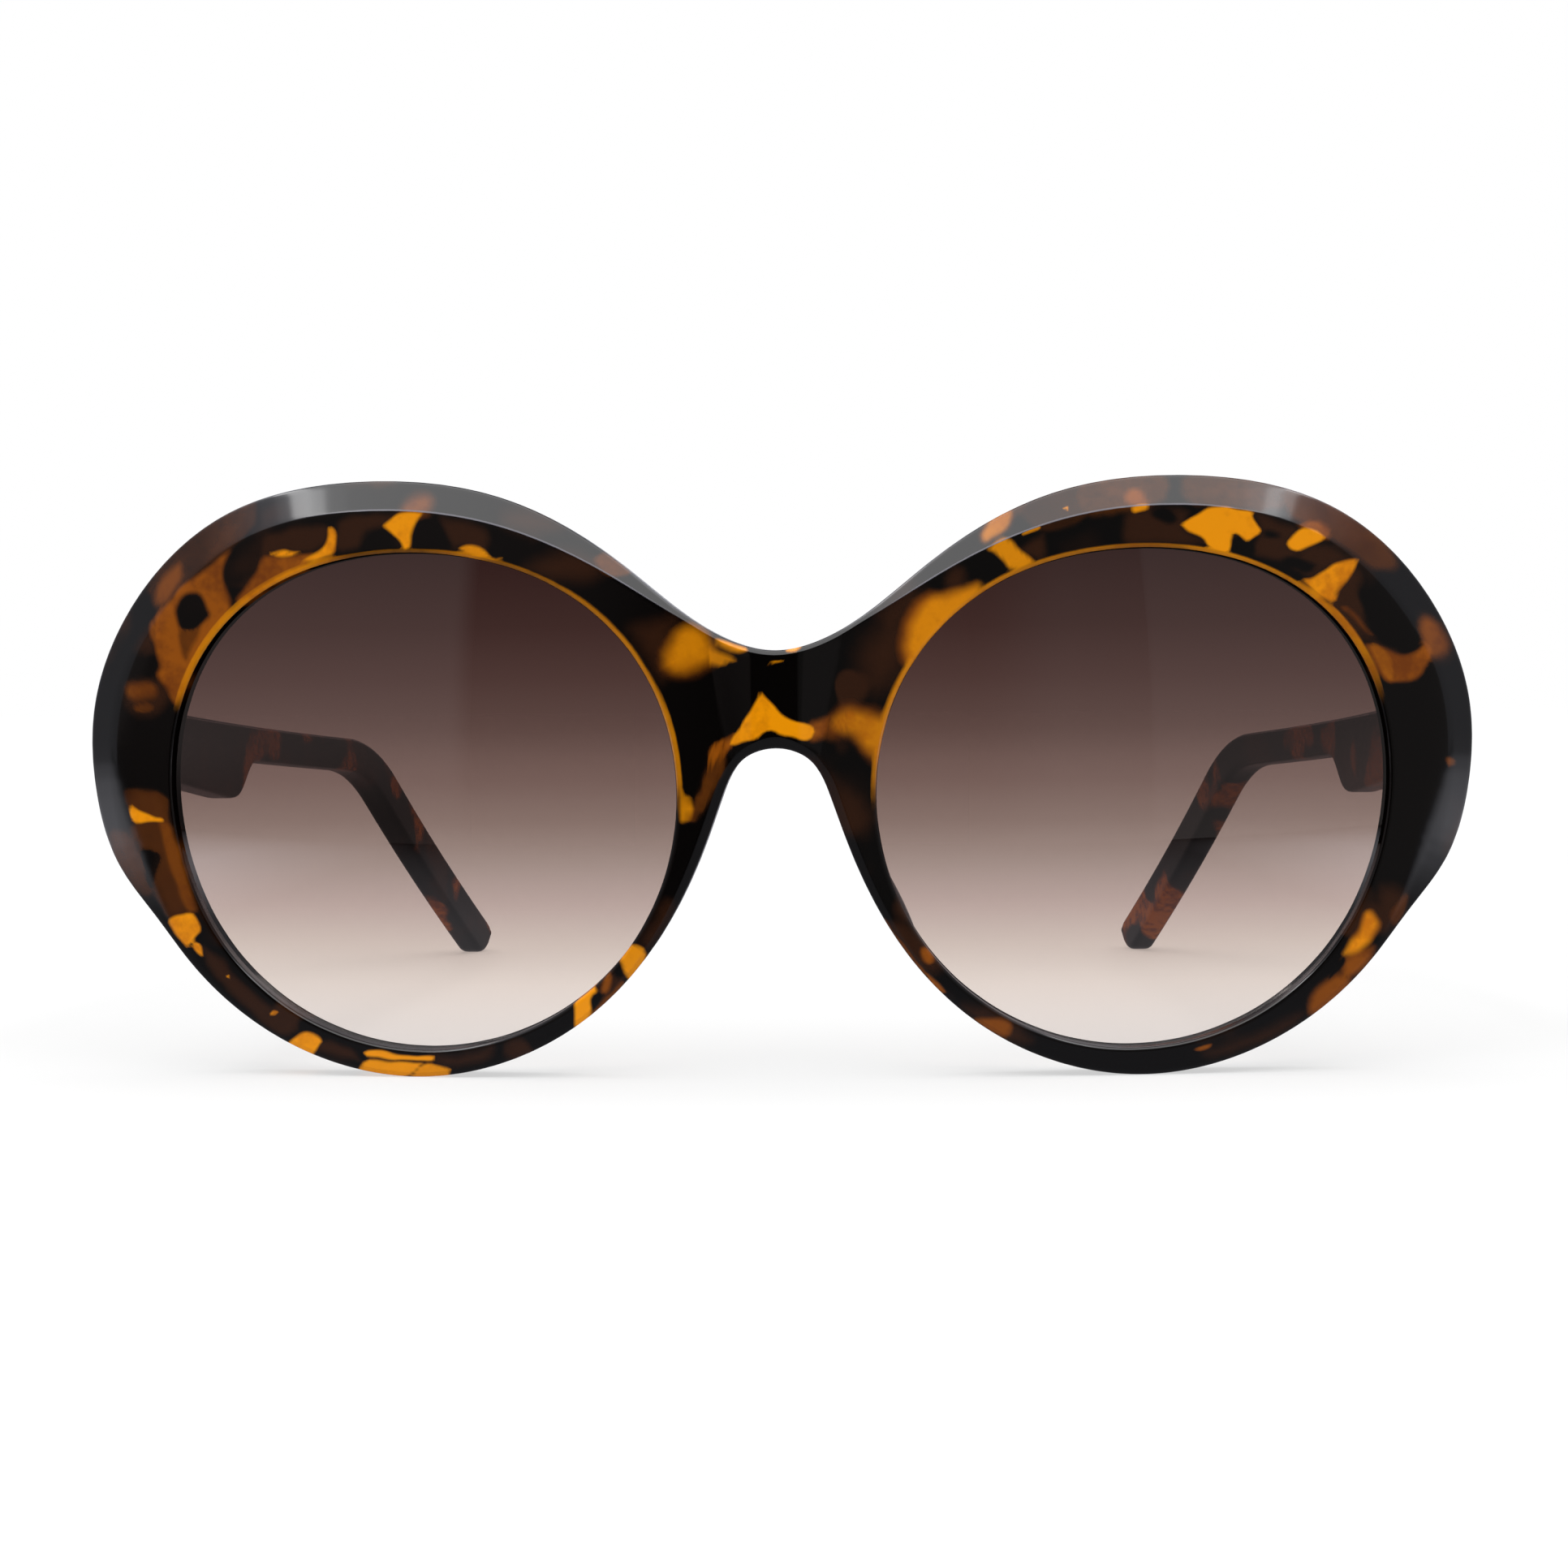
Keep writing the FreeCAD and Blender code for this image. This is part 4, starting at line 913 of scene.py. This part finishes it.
# painted highlight, a lit line along each lip: direction from the eye's middle in degrees, width in
# millimetres, strength
lip = {
    "right": (
        (18, 0.5, -1.2), (24, 0.7, 0.0), (45, 0.75, 0.15), (60, 0.7, 0.25), (68, 0.6, 0.1), (74, 0.35, -0.45),
        (90, 0.35, -0.45), (97, 0.4, -0.1), (101, 0.5, 0.2), (106, 0.4, -0.3), (119, 0.4, -0.3),
        (128, 0.5, -0.05), (140, 0.55, 0.05), (160, 0.65, 0.05), (175, 0.6, 0.0), (184, 0.5, -1.2),
    ),
    "left": (
        (18, 0.4, -1.2), (26, 0.7, -0.2), (34, 0.85, 0.15), (42, 0.8, 0.2), (47, 0.6, 0.4), (54, 0.45, 0.0),
        (66, 0.45, 0.2), (72, 0.45, 0.2), (80, 0.4, -0.2), (95, 0.4, -0.15), (112, 0.45, 0.0),
        (122, 0.5, 0.1), (138, 0.6, 0.35), (151, 0.65, 0.2), (165, 0.6, 0.1), (175, 0.5, -0.1),
        (184, 0.4, -1.2),
    ),
}


def roundedOutline(corners):
    # blunt corners are cut, sharp ones stay
    result = []
    for index, corner in enumerate(corners):
        before = corners[index - 1]
        after = corners[(index + 1) % len(corners)]
        if (before - corner).angle(after - corner) < patches["sharpCorner"]:
            result.append(tuple(corner))
        else:
            result += [tuple(corner.lerp(other, patches["cornerCut"])) for other in (before, after)]
    return result


class Patch:
    def __init__(self, softness, limit, *pixels):
        self.softness = softness * patches["softer"]
        self.limit = limit
        pairs = zip(pixels[::2], pixels[1::2])
        self.corners = roundedOutline([Vector(onFace(*pair)) for pair in pairs])
        spare = patches["boxSpare"] * self.softness
        self.low = [min(parts) - spare for parts in zip(*self.corners)]
        self.high = [max(parts) + spare for parts in zip(*self.corners)]

    def depth(self, x, z):
        # distance to the nearest side, positive inside
        inside = False
        nearest = math.inf
        lastX, lastZ = self.corners[-1]
        for cornerX, cornerZ in self.corners:
            alongX = cornerX - lastX
            alongZ = cornerZ - lastZ
            share = ((x - lastX) * alongX + (z - lastZ) * alongZ) / (alongX ** 2 + alongZ ** 2)
            share = min(1.0, max(0.0, share))
            nearest = min(nearest, (x - lastX - share * alongX) ** 2 + (z - lastZ - share * alongZ) ** 2)
            if (cornerZ > z) != (lastZ > z) and x < lastX + (z - lastZ) / alongZ * alongX:
                inside = not inside
            lastX, lastZ = cornerX, cornerZ
        return math.sqrt(nearest) * (1 if inside else -1)


def patchField(x, z, shapes):
    # how far inside the nearest patch, in widths of its soft edge
    best = patches["none"]
    for shape in shapes:
        if shape.low[0] < x < shape.high[0] and shape.low[1] < z < shape.high[1]:
            best = max(best, min(shape.limit, shape.depth(x, z) / shape.softness))
    return best


def seenFromEye(point):
    # direction and distance from the middle of the nearer eye, and depth behind its face
    flat = Vector((abs(point.x), point.z))
    return eyeTurn(flat), math.hypot(flat.x - eyeX, flat.y - eyeZ), point.y - faceY(flat.x)


def pastOpening(turn, radius):
    return radius - eyeRadii(turn, front["lipDepth"])[0]


def lipHighlightField(point):
    # painted highlight: a thin lit line along the upper and inner lips of the openings, in the amber colour
    turn, radius, depth = seenFromEye(point)
    degrees = math.degrees(turn) % 360
    rows = lip["left" if point.x > 0 else "right"]
    if depth > front["lipRound"] * patches["lipShare"] or not rows[0][0] < degrees < rows[-1][0]:
        return patches["none"]
    index = next(place for place in range(1, len(rows)) if rows[place][0] >= degrees)
    before, after = rows[index - 1], rows[index]
    share = (degrees - before[0]) / (after[0] - before[0])
    width, level = (before[part] + share * (after[part] - before[part]) for part in (1, 2))
    inside = (width * mm - pastOpening(turn, radius)) / patches["lipSoft"]
    return max(patches["none"], min(level, inside))


def creaseHighlightField(point):
    # painted highlight along the crease over the top of each eye
    turn, radius, depth = seenFromEye(point)
    degrees = math.degrees(turn)
    low, high = patches["creaseHighlightTurns"]
    near, far = patches["creaseHighlightDepth"]
    if not low < degrees < high or not near < depth < far:
        return patches["none"]
    if pastOpening(turn, radius) < patches["creaseHighlightInset"]:
        return patches["none"]
    return min(patches["creaseHighlightMost"], min(degrees - low, high - degrees) / patches["creaseHighlightFade"] - 1)


def recessField(point):
    # the shaded wall of each opening, a little less so at the bottom
    turn, radius, depth = seenFromEye(point)
    if depth < front["lipRound"] * patches["lipShare"] or radius > patches["recessReach"]:
        return patches["none"]
    if pastOpening(turn, radius) > patches["recessSpare"]:
        return patches["none"]
    level = patches["recessFade"] * (math.sin(turn) - patches["recessLow"])
    return min(patches["recessMost"], max(patches["recessLeast"], level))


def paintFront(mesh):
    inks = ("amber", "honey", "brown")
    shapes = {name: [Patch(*row) for row in patches[name]] for name in inks + ("dark",)}
    layerNames = inks + ("creaseHighlight", "recess")
    for name in layerNames:
        mesh.attributes.new(name, "FLOAT", "POINT")
    layers = {name: mesh.attributes[name].data for name in layerNames}  # fetched once all of them exist
    noise.seed_set(patches["wobbleSeed"])  # the same wobble in every run
    for index, vertex in enumerate(mesh.vertices):
        spot = Vector((vertex.co.x / mm, 0.0, vertex.co.z / mm))
        bend = noise.noise_vector(spot * patches["wobbleScale"]) * patches["wobble"]
        x = spot.x + bend.x
        z = spot.z + bend.z
        dark = patchField(x, z, shapes["dark"])
        fields = {name: min(patchField(x, z, shapes[name]), -dark) for name in inks}
        # the lips' painted highlight is added to the amber layer
        fields["amber"] = max(fields["amber"], lipHighlightField(vertex.co))
        # painted highlight along the top crease
        fields["creaseHighlight"] = creaseHighlightField(vertex.co)
        fields["recess"] = recessField(vertex.co)
        for name, layer in layers.items():
            layer[index].value = fields[name] + tortoise["inkZero"]


paintFront(frontPiece.data)
print("front painted")

# temples: rounded sections measured across each solid
temple = {
    "stations": 220, "tipReach": 4.0 * mm, "tipStations": 14, "endSpare": 0.02 * mm,
    "round": 0.9 * mm, "cornerSteps": 4, "sideRows": 3,
    "softReach": 3, "tipKept": 8, "endLift": 1.6 * mm, "liftReach": 42 * mm,
    # rays upward in columns across the temple, and one ray sideways
    "columns": 40, "startZ": -10 * mm, "reachZ": 90 * mm, "spareX": 5 * mm, "reachX": 60 * mm,
}


def templeSection(tree, side, y):
    # both sides, underside and top of the temple at one station
    low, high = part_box(side + "_temple")
    heights = []
    for column in between(Vector((low.x, 0)), Vector((high.x, 0)), temple["columns"]):
        start = Vector((column.x, y, temple["startZ"]))
        gaps = surfacesAlong(tree, start, Vector((0, 0, 1)), temple["reachZ"])
        if len(gaps) >= 2:
            heights.append((temple["startZ"] + gaps[0], temple["startZ"] + gaps[-1]))
    bottom, top = heights[len(heights) // 2]
    startX = low.x - temple["spareX"]
    gaps = surfacesAlong(tree, Vector((startX, y, (bottom + top) / 2)), Vector((1, 0, 0)), temple["reachX"])
    return startX + gaps[0], startX + gaps[-1], bottom, top


def templeStations(low, high):
    # even steps along the temple, closer ones round its tip
    lastY = high.y - temple["tipReach"]
    stations = [low.y + temple["endSpare"] + (lastY - low.y) * step / temple["stations"]
                for step in range(temple["stations"])]
    for step in range(temple["tipStations"] + 1):
        share = math.sin(0.5 * math.pi * step / temple["tipStations"])
        stations.append(lastY + (temple["tipReach"] - temple["endSpare"]) * share)
    return stations


def templeLoop(near, far, bottom, top):
    radius = min(temple["round"], arcShare * (top - bottom), arcShare * (far - near))
    corners = [Vector((near, bottom)), Vector((far, bottom)), Vector((far, top)), Vector((near, top))]
    loop = []
    for index, corner in enumerate(corners):
        after = corners[(index + 1) % len(corners)]
        arc = roundedCorner(corners[index - 1], corner, after, radius, temple["cornerSteps"])
        if loop:
            loop += between(loop[-1], arc[0], temple["sideRows"])
        loop += arc
    return loop + between(loop[-1], loop[0], temple["sideRows"])


def buildTemple(side):
    tree = solidTree(side + "_temple")
    low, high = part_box(side + "_temple")
    stations = templeStations(low, high)
    sections = [templeSection(tree, side, y) for y in stations]
    bottoms = [section[2] for section in sections]
    evened = smoothed(bottoms[:temple["stations"]], temple["softReach"], lambda value: value)
    kept = len(evened) - temple["tipKept"]
    bottoms[:kept] = evened[:kept]
    points = []
    faces = []
    lines = []
    for y, bottom, (near, far, _, top) in zip(stations, bottoms, sections):
        bottom += temple["endLift"] * max(0.0, 1 - (y - low.y) / temple["liftReach"])
        loop = templeLoop(near, far, bottom, top)
        lines.append(list(range(len(points), len(points) + len(loop))))
        points += [Vector((spot.x, y, spot.y)) for spot in loop]
    for first, second in zip(lines, lines[1:]):
        for a, b, c, d in zip(first, first[1:] + first[:1], second[1:] + second[:1], second):
            faces.append((a, d, c, b))
    faces.append(tuple(lines[0]))
    faces.append(tuple(reversed(lines[-1])))
    mesh = bpy.data.meshes.new(side + "Temple")
    mesh.from_pydata(points, [], faces)
    mesh.shade_smooth()
    piece = shownObject(side + "Temple", mesh, templeMaterial, side + "_arm")
    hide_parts(side + "_temple")


for side in ("left", "right"):
    buildTemple(side)
print("temples built")

# stage: white table, grey panels and a dark card behind the camera, a bright tent round the rest
stage = {
    "frontEdge": -265 * mm, "backEdge": 1.6, "halfWidth": 1.2,
    "paint": 0.26, "glow": 0.59, "middleGlow": 0.82, "farGlow": 0.79,
    "nearReach": 0.10, "middleReach": 0.8, "farReach": 1.6,
    # the table as the gloss shows it
    "mirroredFront": 0.2, "mirroredSide": 1.3, "mirroredFar": 0.36,
    "frontWidth": 0.11, "sideWidth": 0.18, "farWidth": 0.7, "nearEdge": -130 * mm,
    "behindStart": -20 * mm, "behindEnd": 80 * mm,
    # the tent
    "tentLevel": 0.8, "mirroredTent": 0.34, "tentTint": (0.96, 0.96, 1.05, 1),
    "wingLevel": 1.2, "wingRise": 0.40, "wingStart": 0.56, "wingEnd": 1.3, "wingPower": 2.0,
    "leastHeight": 0.01,
    # the upright sheets
    "panelY": -1.4, "panelLow": -0.5, "panelHigh": 0.9, "cardColour": (0.002, 0.002, 0.002, 1),
}


def sheetObject(name, corners, material):
    mesh = bpy.data.meshes.new(name)
    mesh.from_pydata(corners, [], [tuple(range(len(corners)))])
    mesh.materials.append(material)
    piece = bpy.data.objects.new(name, mesh)
    bpy.context.scene.collection.objects.link(piece)
    return piece


def stageLevel(tree, value, start, end, first, last):
    return rangedLevel(tree, value, stage[start], stage[end], first, last)


def tableMaterial():
    # the glow rises where the lamps no longer reach, so that the table stays white
    material, tree = newMaterial("tableWhite")
    place = objectPlace(tree)
    away = addNode(tree, "ShaderNodeVectorMath", {0: place}, operation="LENGTH").outputs["Value"]
    middle = stageLevel(tree, away, "nearReach", "middleReach", stage["glow"], stage["middleGlow"])
    far = stageLevel(tree, away, "middleReach", "farReach", middle, stage["farGlow"])
    glow = addNode(tree, "ShaderNodeEmission", {"Color": (1, 1, 1, 1), "Strength": far}).outputs[0]
    paint = addNode(tree, "ShaderNodeBsdfDiffuse", {"Color": (stage["paint"],) * 3 + (1,)}).outputs[0]
    seen = addNode(tree, "ShaderNodeAddShader", {0: glow, 1: paint}).outputs[0]
    parts = axisParts(tree, place)
    across = mathNode(tree, "ABSOLUTE", parts["X"])
    side = stageLevel(tree, across, "sideWidth", "farWidth", stage["mirroredSide"], stage["mirroredFar"])
    level = stageLevel(tree, across, "frontWidth", "sideWidth", stage["mirroredFront"], side)
    level = stageLevel(tree, parts["Y"], "frontEdge", "nearEdge", 0.0, level)
    level = stageLevel(tree, parts["Y"], "behindStart", "behindEnd", level, stage["mirroredFar"])
    dim = addNode(tree, "ShaderNodeEmission", {"Color": stage["tentTint"], "Strength": level}).outputs[0]
    mirrored = addNode(tree, "ShaderNodeLightPath").outputs["Is Glossy Ray"]
    shader = addNode(tree, "ShaderNodeMixShader", {0: mirrored, 1: seen, 2: dim})
    finishMaterial(tree, shader.outputs[0])
    return material


def addTable():
    wide, near, far = (stage[name] for name in ("halfWidth", "frontEdge", "backEdge"))
    corners = [(-wide, near, 0), (wide, near, 0), (wide, far, 0), (-wide, far, 0)]
    sheetObject("table", corners, tableMaterial())


addTable()

# upright sheets: directions of both sides in degrees, seen from the middle of the table; a lit one has a
# colour, its most and least brightness, the axis and stretch it fades along, and one a soft inner edge
panels = {
    "leftPanel": {"sides": (-66.0, -16.0), "colour": (1, 0.86, 0.84, 1), "level": 0.18, "least": 0.06,
                  "axis": "Z", "fade": (-0.10, 0.18), "edge": (-0.47, -0.39)},
    "darkCard": {"sides": (-16.0, 1.0)},
    "greyCard": {"sides": (1.0, 20.0), "colour": (1, 0.97, 0.95, 1), "level": 0.09, "least": 0.0,
                 "axis": "X", "fade": (0.02, 0.30)},
    "dimPanel": {"sides": (20.0, 70.0), "colour": (1, 0.93, 0.92, 1), "level": 0.16, "least": 0.07,
                 "axis": "X", "fade": (0.48, 0.53)},
}


def panelMaterial(name, panel):
    material, tree = newMaterial(name)
    if "level" in panel:
        parts = axisParts(tree, objectPlace(tree))
        along = parts[panel["axis"]]
        level = rangedLevel(tree, along, *panel["fade"], panel["least"], panel["level"], smooth=True)
        if "edge" in panel:
            level = rangedLevel(tree, parts["X"], *panel["edge"], level, 0.0, smooth=True)
        shader = addNode(tree, "ShaderNodeEmission", {"Color": panel["colour"], "Strength": level})
    else:
        shader = addNode(tree, "ShaderNodeBsdfDiffuse", {"Color": stage["cardColour"]})
    finishMaterial(tree, shader.outputs[0])
    return material


def addPanel(name, panel):
    sideX = [-stage["panelY"] * math.tan(math.radians(side)) for side in panel["sides"]]
    corners = [(x, stage["panelY"], stage["panelLow"]) for x in sideX]
    corners += [(x, stage["panelY"], stage["panelHigh"]) for x in reversed(sideX)]
    sheetObject(name, corners, panelMaterial(name, panel)).visible_camera = False


for panelName, panel in panels.items():
    addPanel(panelName, panel)


def tentWorld():
    world = bpy.data.worlds.new("whiteTent")
    world.use_nodes = True
    tree = world.node_tree
    tree.nodes.clear()
    rays = addNode(tree, "ShaderNodeLightPath").outputs
    tent = addNode(tree, "ShaderNodeBackground", {"Color": (1, 1, 1, 1), "Strength": stage["tentLevel"]})
    # the tent seen in the gloss is brightest just outside the softbox and falls off down its sides
    toward = axisParts(tree, addNode(tree, "ShaderNodeTexCoord").outputs["Generated"])
    lean = mathNode(tree, "DIVIDE", mathNode(tree, "ABSOLUTE", toward["X"]),
                    mathNode(tree, "MAXIMUM", toward["Z"], stage["leastHeight"]))
    rise = stageLevel(tree, lean, "wingRise", "wingStart", 0.0, 1.0)
    fall = stageLevel(tree, lean, "wingStart", "wingEnd", 1.0, 0.0)
    wing = mathNode(tree, "MULTIPLY", rise, mathNode(tree, "POWER", fall, stage["wingPower"]))
    level = mathNode(tree, "MULTIPLY_ADD", wing, stage["wingLevel"], stage["mirroredTent"])
    dim = addNode(tree, "ShaderNodeBackground", {"Color": stage["tentTint"], "Strength": level})
    white = addNode(tree, "ShaderNodeBackground", {"Color": (1, 1, 1, 1), "Strength": 1.0})
    lit = addNode(tree, "ShaderNodeMixShader",
                  {0: rays["Is Glossy Ray"], 1: tent.outputs[0], 2: dim.outputs[0]})
    shown = addNode(tree, "ShaderNodeMixShader",
                    {0: rays["Is Camera Ray"], 1: lit.outputs[0], 2: white.outputs[0]})
    addNode(tree, "ShaderNodeOutputWorld", {"Surface": shown.outputs[0]})
    return world


bpy.context.scene.world = tentWorld()

# lamps: one large softbox overhead and a brighter strip along each of its sides
lamp = {
    "softbox": {"x": 0.0, "width": 0.9, "level": 2.5, "height": 0.75},
    "leftEdge": {"x": 0.455, "width": 0.08, "level": 3.6, "height": 0.74},
    "rightEdge": {"x": -0.41, "width": 0.08, "level": 4.4, "height": 0.74},
    "forward": -0.32, "length": 1.15,
}


def areaLamp(name):
    # unturned, so it shines straight down
    settings = lamp[name]
    light = bpy.data.lights.new(name, "AREA")
    light.shape = "RECTANGLE"
    light.size = settings["width"]
    light.size_y = lamp["length"]
    light.energy = settings["level"] * math.pi * settings["width"] * lamp["length"]
    piece = bpy.data.objects.new(name, light)
    piece.location = (settings["x"], lamp["forward"], settings["height"])
    bpy.context.scene.collection.objects.link(piece)


for name in ("softbox", "leftEdge", "rightEdge"):
    areaLamp(name)

bpy.context.scene.view_settings.view_transform = "Standard"
print("stage set")
